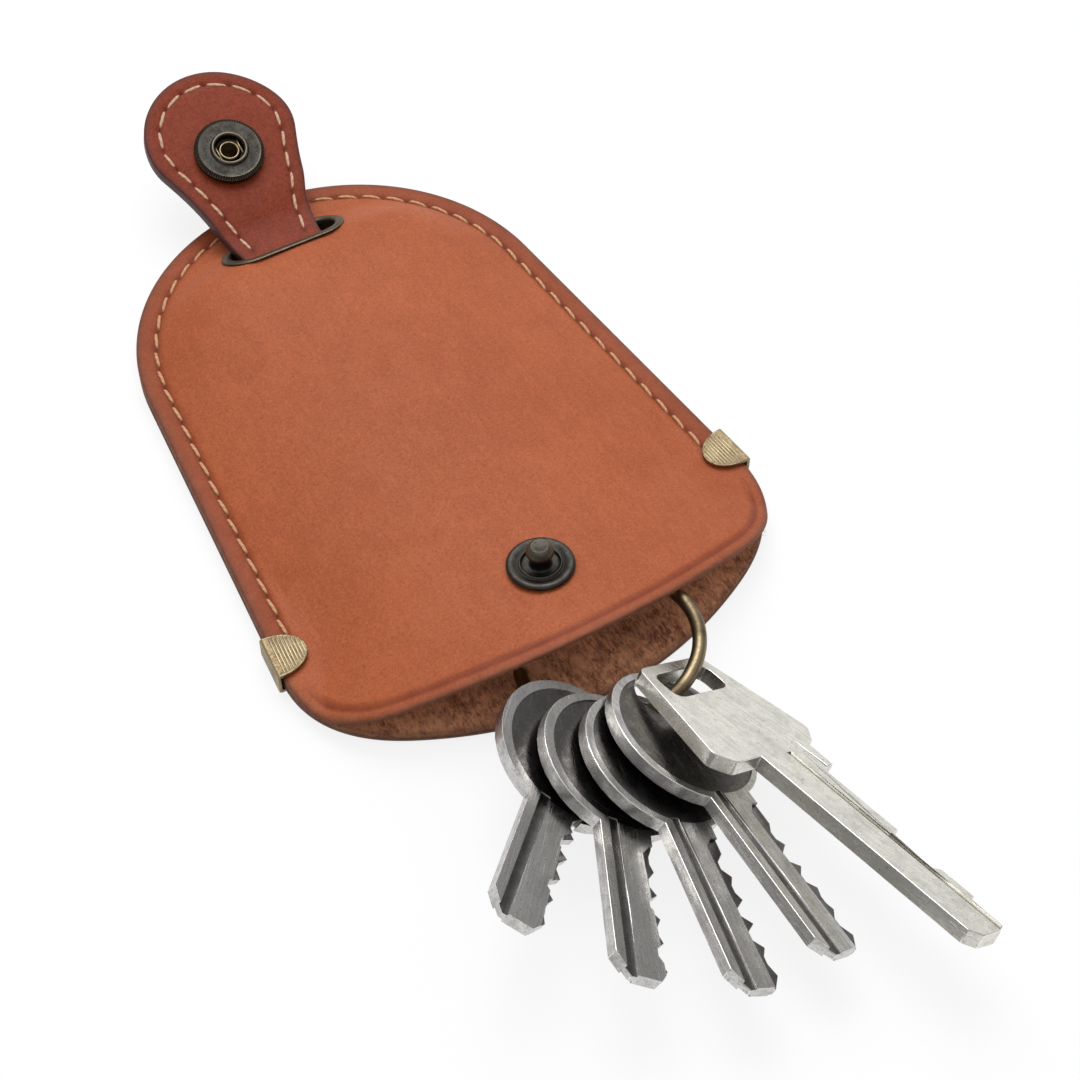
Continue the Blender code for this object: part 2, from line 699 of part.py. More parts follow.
def make_round_key(name, matrix, length, depths, swing):
    """Round bow, blade with its cuts, recessed bow faces and a groove along each face."""
    shoulder = asin(BLADE_HALF / BOW_RADIUS)
    bow = arc((0, -BOW_CENTRE), BOW_RADIUS, -pi / 2 + shoulder, 3 * pi / 2 - shoulder, 34)
    tip = [(-BLADE_HALF, -length + TIP_LENGTH), (-BLADE_HALF * 0.45, -length)]
    outline = cut_edge(depths, length, BLADE_HALF) + bow + tip
    bm = slab(outline, -KEY_THICK / 2, KEY_THICK / 2, [circle(KEY_HOLE, 20)])
    place = from_swing(matrix)
    key = finish(name, bm, WORN_STEEL, place, swing)
    groove_end = -length - 0.002
    groove_start = -BOW_CENTRE - BOW_RADIUS + 0.002
    for side in (-1, 1):
        low, high = sorted((side * (KEY_THICK / 2 - RECESS_DEPTH), side * KEY_THICK))
        disc = slab(circle(BOW_RECESS, 28, (0, -BOW_CENTRE)), low, high)
        cut(key, finish("recess_%s_%d" % (name, side), disc, None, place, swing, cutter=True))
        low, high = sorted((side * (KEY_THICK / 2 - GROOVE_DEPTH), side * KEY_THICK))
        left = -BLADE_HALF * 0.45 - BLADE_GROOVE / 2
        path = [(left, groove_end), (left + BLADE_GROOVE, groove_end),
                (left + BLADE_GROOVE, groove_start), (left, groove_start)]
        cut(key, finish("groove_%s_%d" % (name, side), slab(path, low, high), None, place, swing, cutter=True))
    smooth(key)


def make_flat_key(name, matrix, swing):
    """Flat tapering bow with a wide slot, a stepped blade and a short stop beside it."""
    top = FLAT_EDGE
    foot = FLAT_EDGE - FLAT_HEIGHT
    bow = rounded([
        (FLAT_TOP / 2, top), (-FLAT_TOP / 2, top), (-FLAT_BOTTOM / 2, foot + 0.0028),
        (-FLAT_BOTTOM / 2 + 0.0026, foot), (FLAT_BOTTOM / 2 - 0.0026, foot), (FLAT_BOTTOM / 2, foot + 0.0028),
    ], 0.0013, 3)
    right = FLAT_BLADE_RIGHT
    left = -FLAT_BLADE_LEFT
    stop = FLAT_BLADE_RIGHT + 0.0010
    end = -FLAT_LENGTH
    blade = [
        (left, foot), (left, end + 0.0022), (left + 0.0016, end + 0.0004), (right - 0.0036, end),
        (right - 0.0020, end + 0.0006), (right - 0.0018, end + 0.0060), (right - 0.0008, end + 0.0062),
        (right - 0.0008, end + 0.0120), (right - 0.0022, end + 0.0128), (right - 0.0022, end + 0.0200),
        (right, end + 0.0202), (right, foot - 0.0052), (stop, foot - 0.0052),
        (stop, foot - 0.0006), (stop + 0.0004, foot - 0.0050), (stop + 0.0018, foot - 0.0050),
        (stop + 0.0020, foot),
    ]
    # The bow is a closed loop that starts at its upper right corner and runs left, so the
    # blade is let in between the two lower corners
    split = next(i for i, p in enumerate(bow) if p[1] <= foot + 1e-6 and p[0] > -FLAT_BOTTOM / 2)
    while bow[split + 1][1] <= foot + 1e-6 and bow[split + 1][0] < 0:
        split += 1
    outline = bow[:split + 1] + blade + bow[split + 1:]
    hole = rounded([(FLAT_HOLE_HALF, FLAT_HOLE_RISE), (-FLAT_HOLE_HALF, FLAT_HOLE_RISE),
                    (-FLAT_HOLE_HALF, -FLAT_HOLE_RISE), (FLAT_HOLE_HALF, -FLAT_HOLE_RISE)], 0.0016, 3)
    place = from_swing(matrix)
    aside = Matrix.Translation((FLAT_SHIFT, 0, 0))
    bm = slab(outline, -FLAT_THICK / 2, FLAT_THICK / 2, [hole])
    bm.transform(aside)
    key = finish(name, bm, NICKEL_SILVER, place, swing)
    groove_left = right - 0.0034
    path = [(groove_left, end - 0.002), (groove_left + 0.0011, end - 0.002),
            (groove_left + 0.0011, foot - 0.0006), (groove_left, foot - 0.0006)]
    for side in (-1, 1):
        low, high = sorted((side * (FLAT_THICK / 2 - GROOVE_DEPTH), side * FLAT_THICK))
        groove = slab(path, low, high)
        groove.transform(aside)
        cut(key, finish("groove_%s_%d" % (name, side), groove, None, place, swing, cutter=True))
    smooth(key)


def main():
    clear_scene()
    make_back_panel()
    make_front_panel()
    for name, matrix in clip_places():
        make_clip(name, matrix)
    make_eyelet()
    make_stud()
    make_strap()
    hinge = empty("tongue_hinge", hinge_matrix())
    make_tongue(hinge)
    make_socket(hinge)
    swing = empty("ring_swing", swing_matrix())
    make_ring(swing)
    for name, angle, outwards, up, yaw, dip, roll, length, depths in ROUND_KEYS:
        make_round_key(name, key_matrix(angle, outwards, up, yaw, dip, roll), length, depths, swing)
    name, angle, outwards, up, yaw, dip, roll = FLAT_KEY
    make_flat_key(name, key_matrix(angle, outwards, up, yaw, dip, roll), swing)


main()
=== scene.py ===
"""Leather key fob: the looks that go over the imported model."""
import json
import random
from math import acos, asin, atan, atan2, cos, exp, hypot, pi, radians, sin, sqrt, tan
import bmesh
import bpy
import numpy as np
from bpy.props import FloatProperty, FloatVectorProperty, IntProperty, PointerProperty
from mathutils import Matrix, Vector, noise


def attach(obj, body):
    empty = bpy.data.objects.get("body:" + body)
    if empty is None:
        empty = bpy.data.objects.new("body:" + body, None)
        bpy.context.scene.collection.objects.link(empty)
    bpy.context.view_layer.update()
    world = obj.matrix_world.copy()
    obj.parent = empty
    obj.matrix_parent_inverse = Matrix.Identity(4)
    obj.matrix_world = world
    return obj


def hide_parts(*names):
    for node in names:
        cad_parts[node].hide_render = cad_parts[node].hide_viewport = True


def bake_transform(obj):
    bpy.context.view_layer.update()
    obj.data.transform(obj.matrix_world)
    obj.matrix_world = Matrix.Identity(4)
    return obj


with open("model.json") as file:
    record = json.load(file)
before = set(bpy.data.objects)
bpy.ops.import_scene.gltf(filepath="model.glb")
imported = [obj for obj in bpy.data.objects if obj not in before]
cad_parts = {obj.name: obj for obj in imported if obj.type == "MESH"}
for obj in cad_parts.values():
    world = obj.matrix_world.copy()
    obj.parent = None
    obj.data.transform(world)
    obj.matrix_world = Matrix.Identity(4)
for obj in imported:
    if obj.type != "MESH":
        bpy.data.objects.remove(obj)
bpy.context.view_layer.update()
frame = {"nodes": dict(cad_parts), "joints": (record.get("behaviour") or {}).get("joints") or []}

bl_info = {
    "name": "Leather Key Fob",
    "version": (1, 0, 0),
    "blender": (4, 5, 0),
    "location": "3D Viewport > Sidebar > Key Fob",
    "description": "Builds the leather, stitching, fittings and keys of a key fob",
    "category": "Add Mesh",
}

NODES = frame["nodes"]
HINGES = {joint["child"]: joint for joint in frame["joints"]}

# Pouch, as in the solids
LEATHER = 0.0015
SEAT_GAP = 0.0003
HALF_WIDTH = 0.0407
ARCH_RADIUS = 0.0358
ARCH_Y = 0.0535
LIP_HALF = 0.0290
BACK_LIP = (-0.0286, 0.0076)
FRONT_LIP = (-0.0252, 0.0048)
CORNER_Y = -0.0020
SEAM_MARGIN = 0.0040
FREE_LENGTH = 0.0240
BULGE_TOP = 0.0052
BULGE_SLOPE = 0.031
FLARE_Y = 0.0030
FLARE_RATE = 2.5
STUD_X = -0.0009
STUD_Y = -0.0102
SLOT_X = -0.0014
SLOT_Y = 0.0754
RAMP_HALF = 0.0044
RAMP_ANGLE = radians(28.5)
EYELET_HALF_LENGTH = 0.0116
EYELET_HALF_WIDTH = 0.0051
CLIP_LENGTH = 0.0076
CLIP_PINCH = 0.0034
SEAM_END_Y = 0.0029
CLIP_REACH = 0.0052
CLIP_TOP = 0.0042
PINCH_REACH = 1.6 * CLIP_LENGTH

# Surfaces of the panels, beyond the solids: rows of faces, and what is pressed or skived. A
# hole's share is its width in stitches. The swelling leaves room for the first key's bow.
FREE_STEP = 0.0009
PANEL_SPINE = (0.008, ARCH_Y - 0.004)
PANEL_DEPTHS = (
    0.0009, 0.0014, 0.0020, 0.0026, 0.0030, 0.0033, 0.0036, 0.0040, 0.0045, 0.0052, 0.0062)
PANEL_SPANS = (0.08, 0.17, 0.27, 0.38, 0.50, 0.62, 0.74, 0.87, 1.0)
EDGE_FADE = 0.0006
FRONT_ROLL = 0.00055
BACK_ROLL = 0.00050
GROOVE_WIDTH = 0.00045
FRONT_GROOVE = 0.00024
FRONT_HOLE = 0.00034
FRONT_HOLE_SHARE = 0.16
BACK_GROOVE = 0.00018
BACK_HOLE = 0.00030
BACK_HOLE_SHARE = 0.11
BACK_FUZZ = 0.00006
BORDER_PRESS = 0.00012
CREASE_INSET = 0.0021
CREASE_WIDTH = 0.00062
CREASE_DEPTH = 0.00020
LIP_FALL = 0.00030
LIP_SKIVE = 0.00022
WAVE_RISE = 0.00016
SWELL_SPOT = (-0.0222, -0.0050)
SWELL_RISE = 0.00045
SWELL_REACH = 0.0075

# Loose fibres along the mouth
FIBRE_SEED = 7
FIBRE_COUNT = 150
MOUTH_Y = -0.017

# Stitches
STITCH_SHARE = 0.84
THREAD_SINK = 0.0003
SEAM_SINK = 0.0003
SEAM_SLANT = 0.00018
TONGUE_SINK = 0.00018
TONGUE_SLANT = 0.00008
THREAD_LOWEST = 0.00002

# Strap and tongue, as in the solids
STRAP_THICK = 0.0020
STRAP_HALF = 0.0074
STRAP_LEAN = radians(1.35)
LOOP_Y = -0.0123
LOOP_HALF = 0.0032
LOOP_LAYER = 0.0009
LOOP_HOLE_LENGTH = 0.0026
LOOP_HOLE_HEIGHT = 0.0022
LOOP_TAIL = 0.009
TAPER_LENGTH = 0.026
BEND_LENGTH = 0.006
TONGUE_PITCH = radians(20.5)
TONGUE_THICK = 0.0026
NECK_HALF = 0.0076
NECK_FILLET = 0.090
HEAD_RADIUS = 0.01206
HEAD_Y = 0.0173
SOCKET_Y = 0.0134
TUBE_RADIUS = 0.0019
LOOP_CLEAR = 0.00006
TAIL_SPARE = 0.002
TAIL_STEPS = 12
EYE_STEPS = 24
THICKEN_LENGTH = 0.009

# Strap and tongue, beyond the solids. HEAD_WIDER and HEAD_LONGER are shares of the solid's size.
TIP_SPARE = 0.002
TAIL_CORNER = 0.0006
ROW_STEP = 0.0008
TONGUE_SPINE_START = 0.0025
HEAD_WIDER = 0.065
HEAD_LONGER = 0.07
HEAD_SHIFT = 0.0001
HEAD_FULL = 0.0010
STRAP_DEPTHS = (0.0009, 0.0014, 0.0020, 0.0025, 0.0029, 0.0033, 0.0038, 0.0046)
STRAP_SPANS = (0.25, 0.5, 0.75, 1.0)
STRAP_ROLL = 0.00042
STRAP_GROOVE_WIDTH = 0.0004
STRAP_GROOVE = 0.00014
STRAP_HOLE = 0.00028
STRAP_HOLE_SHARE = 0.10
STRAP_PUFF = 0.00010
STRAP_REST_AWAY = 0.3

# Keys with round bows, as in the solids, with a wider recess
BOW_RADIUS = 0.0121
BOW_CENTRE = 0.0074
BOW_RECESS = 0.0110
RECESS_DEPTH = 0.00025
KEY_THICK = 0.0020
BLADE_HALF = 0.0042
BLADE_STEP = 0.0009
KEY_LENGTHS = {"key_a": 0.0399, "key_b": 0.0428, "key_c": 0.0451, "key_d": 0.0462}
BOW_TO_CUT = 0.0012
CUT_SPARE = 0.002
CUT_SLOPE = 0.0016
CUT_TOP = 0.00045
CUT_BOTTOM = 0.00030

# Key ring, as in the solids
RING_RADIUS = 0.0135
RING_WIRE = 0.00108
RING_SLIT = radians(2.2)
RING_PLACE = Vector((0.0018, -0.0253, 0.0070))
RING_TILT = Matrix.Rotation(radians(-9.5), 4, 'Y') @ Matrix.Rotation(radians(-8.5), 4, 'X')

# Fittings: (radius, height, wear) in millimetres from the seat. A point given twice makes a
# tighter corner.
SOCKET_PROFILE = [
    (1.95, 0.30, 0), (5.85, 0.30, 0), (6.08, 0.45, 0), (6.08, 1.25, 0.2),
    (5.92, 1.52, 0.6), (5.92, 1.52, 0.6), (5.42, 1.74, 0.7), (5.42, 1.74, 0.5),
    (5.25, 1.70, 0.0), (3.50, 1.70, 0.0), (3.30, 1.74, 0.1), (3.18, 2.10, 0.5),
    (3.00, 2.30, 0.9), (2.74, 2.28, 0.7), (2.60, 2.05, 0.2), (2.55, 1.90, 0),
    (2.55, 0.80, 0), (1.95, 0.70, 0),
]
SOCKET_TEETH = (5.45, 6.00, 1.20, 0.20)
CAP_PROFILE = [
    (0.0, -2.90, 0), (1.38, -2.90, 0), (1.38, 1.15, 0.2), (1.50, 1.38, 0.9),
    (1.72, 1.34, 0.9), (1.82, 1.10, 0.2), (1.82, -2.90, 0), (1.82, -2.90, 0),
    (6.20, -2.90, 0), (6.20, -3.20, 0.3), (5.46, -3.64, 0.4), (3.84, -3.96, 0.2),
    (0.0, -4.10, 0),
]
STUD_PROFILE = [
    (0.0, 0.30, 0), (4.90, 0.30, 0), (5.22, 0.42, 0), (5.22, 0.75, 0.0),
    (4.95, 1.04, 0.12), (4.50, 1.12, 0.08), (4.00, 1.00, 0), (3.50, 0.80, 0),
    (3.34, 0.80, 0), (3.28, 1.02, 0.1), (3.12, 1.08, 0.2), (3.00, 0.95, 0.0),
    (2.86, 0.60, 0), (1.90, 0.56, 0), (1.60, 0.70, 0), (1.45, 1.20, 0),
    (1.48, 2.20, 0), (1.90, 2.75, 0.1), (2.12, 3.10, 0.2), (2.12, 3.50, 0.25),
    (1.86, 4.12, 0.35), (1.56, 4.48, 0.6), (1.30, 4.66, 0.4), (1.12, 4.62, 0.05),
    (0.0, 4.52, 0.1),
]

# Eyelet: (outwards, height, wear) in millimetres round the slot
EYELET_SECTION = [
    (0.0, -0.70, 0), (0.0, 0.40, 0), (0.12, 0.86, 0.1), (0.50, 1.08, 0.4),
    (1.10, 1.10, 0.2), (1.60, 0.98, 0.3), (1.80, 0.80, 0.1), (1.62, 0.70, 0),
    (0.55, 0.68, 0), (0.38, 0.55, 0), (0.38, -0.70, 0),
]
EYELET_INNER_LENGTH = EYELET_HALF_LENGTH - 0.0020
EYELET_INNER_WIDTH = EYELET_HALF_WIDTH - 0.0016
CUT_LENGTH = EYELET_HALF_LENGTH - 0.0011
CUT_WIDTH = EYELET_HALF_WIDTH - 0.0008
SPRING_HALF = 0.0020
SPRING_LENGTH = 0.0030
SPRING_HEIGHT = 0.0011
SPRING_WIRE = 0.0002
SPRING_RISE = 0.00035
TUBE_PLAY = 0.0001

# Clips
RIB_COUNT = 9
RIB_PITCH = 0.00052
RIB_START = -0.0005
RIB_MARGIN = 0.00025
RIB_WIDTH = 0.00021
RIB_RISE = 0.00014
RIB_SEAT = 0.00005

# Rounding of the edges of fittings and keys. UPRIGHT and LEVEL compare with a face's Z normal.
SHARP_EDGE = radians(28)
FINE_BEVEL = 0.00005
PLATE_BEVEL = 0.00008
CLIP_BEVEL = 0.00014
KEY_BEVEL = 0.00028
FLAT_KEY_BEVEL = 0.00030
KEY_WALL = 0.0009
WELD = 2e-6
LAST_WELD = 3e-6
UPRIGHT = 0.3
LEVEL = 0.9
SKIN = 0.0001

# Leather's looks: spots per metre, depth of the grain, and the raw flesh side
BROAD_TONES = 38
BLOTCHES = 190
GRAIN = 1500
FINE_GRAIN = 2700
PORES = 1650
WRINKLES = 900
FLESH_FUZZ = 1750
FLESH_PATCHES = 260
PAINT_SPOTS = 700
GRAIN_DEPTH = 0.00009
FLESH_LIGHT = (0.90, 0.44, 0.24)
FLESH_DARK = (0.20, 0.064, 0.034)

# Thread's looks: the twist in radians per metre, flecks per metre, depth of the twist
TWIST_RATE = 5200
THREAD_FLECKS = 2600
TWIST_DEPTH = 0.00005

# Metal's looks: spots per metre, depth of the pits, and the tones that wear and dirt leave. The
# ring's rubbed tone is also a painted highlight on its upper side, and the nickel's dirt tone is
# also painted shade on the flat key's walls
FITTING_HAZE = 420
FITTING_PITS = 2600
FITTING_SMEARS = 1200
FITTING_DEPTH = 0.00004
KEY_BRUSHING = 3800
KEY_HAZE = 210
KEY_STAINS = 620
KEY_SPECKS = 2900
KEY_SCRATCHES = 2600
KEY_DEPTH = 0.00005
RUBBED_GUNMETAL = (0.30, 0.255, 0.185)
RUBBED_BRASS = (0.60, 0.48, 0.30)
# Rubbed patches on the ring, and a painted highlight along the wire's upper side
RING_RUB_AND_HIGHLIGHT = (0.52, 0.41, 0.25)
RUBBED_STEEL = (0.95, 0.94, 0.92)
BRONZE = ((0.150, 0.115, 0.080), (0.075, 0.056, 0.040), (0.36, 0.29, 0.19))
STEEL_DIRT = (0.105, 0.097, 0.094)
# Dirt specks on the flat key, and painted shade on its upright walls
NICKEL_DIRT_AND_WALL_SHADE = (0.15, 0.125, 0.075)

# Camera, as the photograph was taken
AZIMUTH = radians(-31.31)
ELEVATION = radians(52.51)
DISTANCE = 0.3309
TARGET = Vector((0.00610, 0.00164, 0.0))
CAMERA_ROLL = radians(0.87)
LENS = 70.31
SENSOR = 36
NEAREST = 0.01

# Stage
WHITE = (1.0, 1.0, 1.0)
FLOOR_COLOUR = (0.86, 0.86, 0.87)
FLOOR_REACH = 8.0
FLOOR_DROP = 0.0002
FLOOR_GLOW = 0.78
GLOW_STRENGTH = 1.06
LAMPS = (
    # name, place, size, share of the lamp power
    ("lamp_over", Vector((0.16, 0.48, 0.86)), 0.7, 1.0),
    ("lamp_side", Vector((0.75, 0.58, 0.24)), 0.6, 0.16),
)


class Wire:
    """A socket's output that is used like a number in shader maths."""

    def __init__(self, nodes, socket):
        self.nodes = nodes
        self.socket = socket

    def math(self, operation, *values):
        return self.nodes.node("ShaderNodeMath", {"operation": operation}, dict(enumerate(values)))

    def __add__(self, other):
        return self.math('ADD', self, other)

    def __sub__(self, other):
        return self.math('SUBTRACT', self, other)

    def __rsub__(self, other):
        return self.math('SUBTRACT', other, self)

    def __mul__(self, other):
        return self.math('MULTIPLY', self, other)

    __radd__ = __add__
    __rmul__ = __mul__

    def step(self, low, high):
        """An eased ramp from 0 at low to 1 at high, or from 1 to 0 where high is the lower."""
        sockets = {0: self, 1: min(low, high), 2: max(low, high)}
        ramp = self.nodes.node("ShaderNodeMapRange", {"interpolation_type": 'SMOOTHSTEP'}, sockets)
        return ramp if low < high else 1 - ramp


class Nodes:
    """A tree of shader nodes."""

    def __init__(self, tree):
        self.tree = tree

    def node(self, kind, settings=None, sockets=None, out=0):
        """Add a node with its settings and the values or links of its sockets."""
        made = self.tree.nodes.new(kind)
        for key, value in (settings or {}).items():
            setattr(made, key, value)
        for key, value in (sockets or {}).items():
            self.feed(made.inputs[key], value)
        return Wire(self, made.outputs[out])

    def feed(self, socket, value):
        if isinstance(value, Wire):
            self.tree.links.new(value.socket, socket)
        elif socket.type == 'RGBA':
            socket.default_value = (*value[:3], 1.0)
        else:
            socket.default_value = value


class Finish(Nodes):
    """One material and the nodes that make its looks."""

    def __init__(self, name):
        self.material = bpy.data.materials.new(name)
        self.material.use_nodes = True
        super().__init__(self.material.node_tree)
        self.shader = self.tree.nodes["Principled BSDF"]

    def mix(self, share, first, second):
        sockets = {0: share, 6: first, 7: second}
        return self.node("ShaderNodeMix", {"data_type": 'RGBA'}, sockets, out=2)

    def mark(self, name):
        """A mark that the mesh carries, from 0 to 1."""
        return self.node("ShaderNodeAttribute", {"attribute_name": name}, out="Fac")

    def rest(self):
        """Where a point lies on the flat or unmoved piece, in metres, as the mesh carries it."""
        return self.node("ShaderNodeAttribute", {"attribute_name": "rest"}, out="Vector")

    def place(self):
        """Where a point lies on the piece, in metres."""
        return self.node("ShaderNodeTexCoord", out="Object")

    def stretched(self, where, scale, turn=0.0):
        sockets = {"Vector": where, "Scale": scale, "Rotation": (0, 0, turn)}
        return self.node("ShaderNodeMapping", {}, sockets)

    def cloud(self, where, scale, detail=2.0, rough=0.5, warp=0.0):
        sockets = {"Vector": where, "Scale": scale, "Detail": detail, "Roughness": rough,
                   "Distortion": warp}
        return self.node("ShaderNodeTexNoise", {}, sockets)

    def cells(self, where, scale):
        return self.node("ShaderNodeTexVoronoi", {}, {"Vector": where, "Scale": scale})

    def parts(self, where):
        split = self.node("ShaderNodeSeparateXYZ", {}, {0: where})
        return [Wire(self, out) for out in split.socket.node.outputs]

    def bump(self, height, distance, strength=1.0):
        sockets = {"Height": height, "Distance": distance, "Strength": strength}
        return self.node("ShaderNodeBump", {}, sockets)

    def done(self, sockets):
        """Set the shader's sockets and return the material."""
        for key, value in sockets.items():
            self.feed(self.shader.inputs[key], value)
        return self.material


def toned(colour, share):
    """A darker or lighter tone of a colour."""
    return tuple(min(c * share, 1.0) for c in colour)


def leather_finish(name, light, dark, edge, sheen=0.0):
    """Grain side, flesh side and painted edge in one material, told apart by the mesh's marks."""
    f = Finish(name)
    where = f.rest()
    broad = f.cloud(where, BROAD_TONES, 3, 0.55)
    blotch = f.cloud(where, BLOTCHES, 4, 0.6, 0.4)
    grain = f.cloud(where, GRAIN, 3, 0.6)
    fine = f.cloud(where, FINE_GRAIN, 3, 0.65)
    pores = f.cells(where, PORES)
    wrinkle = f.cloud(f.stretched(where, (1.0, 0.22, 1.0), 0.5), WRINKLES, 3, 0.6, 0.6)
    edge_mark, shade, flesh = f.mark("edge"), f.mark("shade"), f.mark("flesh")

    # Grain side: mottled, with dark and light specks. The shade mark darkens pressed places, and
    # paints shade into the stitch holes, along the mouth's crease and on the falling lip
    tone = broad * 0.35 + blotch * 0.28 + wrinkle * 0.32 + grain * 0.30 + fine * 0.55 - 0.38
    colour = f.mix(tone.step(0.30, 0.72), light, dark)
    speck = fine.step(0.54, 0.68) * 0.42 + grain.step(0.60, 0.72) * 0.20
    colour = f.mix(speck, colour, toned(dark, 0.66))
    colour = f.mix(fine.step(0.46, 0.33) * 0.42, colour, toned(light, 1.22))
    # Colour of pressed leather, and of the painted shade in holes, crease and lip
    pressed_and_shaded = tuple(c * s for c, s in zip(dark, (0.52, 0.36, 0.34)))
    colour = f.mix(shade * (0.75 + blotch * 0.5), colour, pressed_and_shaded)

    # Flesh side: drawn fibres. Edge: paint that is rubbed in places
    fuzz = f.cloud(f.stretched(where, (1.0, 0.35, 1.0), -0.35), FLESH_FUZZ, 5, 0.74, 1.0)
    patch = f.cloud(where, FLESH_PATCHES, 4, 0.65)
    raw = f.mix((fuzz * 0.75 + patch * 0.45).step(0.46, 0.78), FLESH_LIGHT, FLESH_DARK)
    colour = f.mix(flesh, colour, raw)
    rubbed = f.cloud(where, PAINT_SPOTS, 4, 0.6).step(0.35, 0.7)
    colour = f.mix(edge_mark, colour, f.mix(rubbed, edge, toned(edge, 0.55)))

    height = wrinkle * 0.45 + grain * 0.30 + fine * 0.14 + pores * 0.35
    height = height * (1 - flesh) + fuzz * flesh * 2.6
    rough = 0.50 + blotch * 0.14 + flesh * 0.3 - edge_mark * 0.06
    return f.done({"Base Color": colour, "Roughness": rough,
                   "Normal": f.bump(height, GRAIN_DEPTH, 0.75),
                   "Sheen Weight": sheen, "Sheen Roughness": 0.45, "Specular IOR Level": 0.25})


def thread_finish(name, light, depth):
    """Waxed thread with the twist of its plies, and depth for its darker tone: random flecks, and
    painted shade between the plies.
    """
    f = Finish(name)
    along, around, _ = f.parts(f.rest())
    turn = along * TWIST_RATE + around * (2 * pi)
    twist = turn.math('SINE', turn)
    fleck = f.cloud(f.place(), THREAD_FLECKS, 3, 0.6)
    dark = toned(light, depth)
    # Darker flecks at random, and painted shade between the plies along the twist
    colour = f.mix((fleck * 0.8 + 0.15 - twist * 0.12).step(0.3, 0.75), light, dark)
    colour = f.mix(f.mark("shade"), colour, toned(dark, 0.30))
    return f.done({"Base Color": colour, "Roughness": 0.62 + fleck * 0.1,
                   "Normal": f.bump(twist, TWIST_DEPTH, 0.7)})


def fitting_finish(name, metal, dark, worn, rough=0.34):
    """Plated brass: mottled, dark in the hollows, rubbed to a lighter tone on marked edges. The
    dark is patina in the hollows of the antique brass, and painted shade between the socket's teeth
    and on upright walls that are marked as part hollow.
    """
    f = Finish(name)
    where = f.place()
    haze = f.cloud(where, FITTING_HAZE, 4, 0.65)
    pits = f.cloud(where, FITTING_PITS, 3, 0.6)
    smear = f.cloud(f.stretched(where, (1.0, 0.3, 1.0), 0.6), FITTING_SMEARS, 3, 0.6, 0.5)
    rub = f.mark("worn")
    tone = (haze * 0.65 + pits * 0.30 + smear * 0.25).step(0.42, 0.78)
    colour = f.mix(tone, metal, dark)
    colour = f.mix(pits.step(0.60, 0.70) * 0.45, colour, toned(dark, 0.45))
    # Hollows darker: patina in the antique brass, and painted shade between the socket's teeth and
    # on marked upright walls
    colour = f.mix(f.mark("hollow") * 0.8, colour, toned(dark, 0.35))
    colour = f.mix(rub * (0.25 + haze * 0.8), colour, worn)
    height = pits * 0.6 + haze * 0.3
    return f.done({"Base Color": colour, "Metallic": 1.0,
                   "Roughness": rough + pits * 0.22 + tone * 0.08 - rub * 0.08,
                   "Normal": f.bump(height, FITTING_DEPTH, 0.55)})


def key_finish(name, metal, depth, dirt_and_wall_shade, tarnish_and_wall_shade):
    """Worn plated steel, brushed along the blade and scratched.

    Tarnish darkens the recessed faces of the bow and the grooves. Upright walls that softened
    marks, as on the flat key, get painted shade in the same tone. Depth is for the darker tone of
    the plating."""
    f = Finish(name)
    where = f.rest()
    brushed = f.cloud(f.stretched(where, (1.0, 0.05, 1.0)), KEY_BRUSHING, 3, 0.6)
    haze = f.cloud(where, KEY_HAZE, 4, 0.65, 0.5)
    stain = f.cloud(where, KEY_STAINS, 5, 0.7, 0.8)
    specks = f.cloud(where, KEY_SPECKS, 2, 0.5)
    rub = f.mark("worn")
    tone = (haze * 0.40 + stain * 0.35 + brushed * 0.45).step(0.50, 0.78)
    colour = f.mix(tone * 0.80, metal, toned(metal, depth))
    # Tarnish in the recesses, and painted shade on the upright walls that are marked
    colour = f.mix(f.mark("hollow") * tarnish_and_wall_shade * (0.70 + stain * 0.5), colour, dirt_and_wall_shade)
    colour = f.mix(specks.step(0.63, 0.72) * 0.50, colour, dirt_and_wall_shade)
    colour = f.mix(rub * (0.50 + haze * 0.8), colour, RUBBED_STEEL)
    streaks = f.cloud(f.stretched(where, (1.0, 0.03, 1.0), 0.9), KEY_SCRATCHES, 2, 0.5)
    scratch = streaks.step(0.63, 0.70)
    height = brushed * 0.6 + specks * 0.35 + haze * 0.7 - scratch * 0.5
    return f.done({"Base Color": colour, "Metallic": 1.0,
                   "Roughness": 0.17 + stain * 0.20 + tone * 0.10 - rub * 0.04,
                   "Normal": f.bump(height, KEY_DEPTH, 0.5)})


def put_marks(mesh, **marks):
    """Give a mesh its marks: one number, or one place, for each point."""
    for name, values in marks.items():
        values = np.asarray(values, np.float32)
        kind, field = ("FLOAT_VECTOR", "vector") if values.ndim == 2 else ("FLOAT", "value")
        layer = mesh.attributes.new(name, kind, 'POINT')
        layer.data.foreach_set(field, values.ravel())


def piece(name, verts, faces, material, matrix=None, marks=None, angle=40):
    """A named smooth-shaded piece."""
    mesh = bpy.data.meshes.new(name)
    mesh.from_pydata([tuple(v) for v in verts], [], faces)
    mesh.materials.append(material)
    put_marks(mesh, **(marks or {}))
    bm = bmesh.new()
    bm.from_mesh(mesh)
    bmesh.ops.remove_doubles(bm, verts=bm.verts, dist=1e-7)
    bmesh.ops.recalc_face_normals(bm, faces=bm.faces)
    bm.to_mesh(mesh)
    bm.free()
    mesh.shade_smooth()
    mesh.set_sharp_from_angle(angle=radians(angle))
    obj = bpy.data.objects.new(name, mesh)
    bpy.context.scene.collection.objects.link(obj)
    if matrix is not None:
        obj.matrix_world = matrix
    return obj


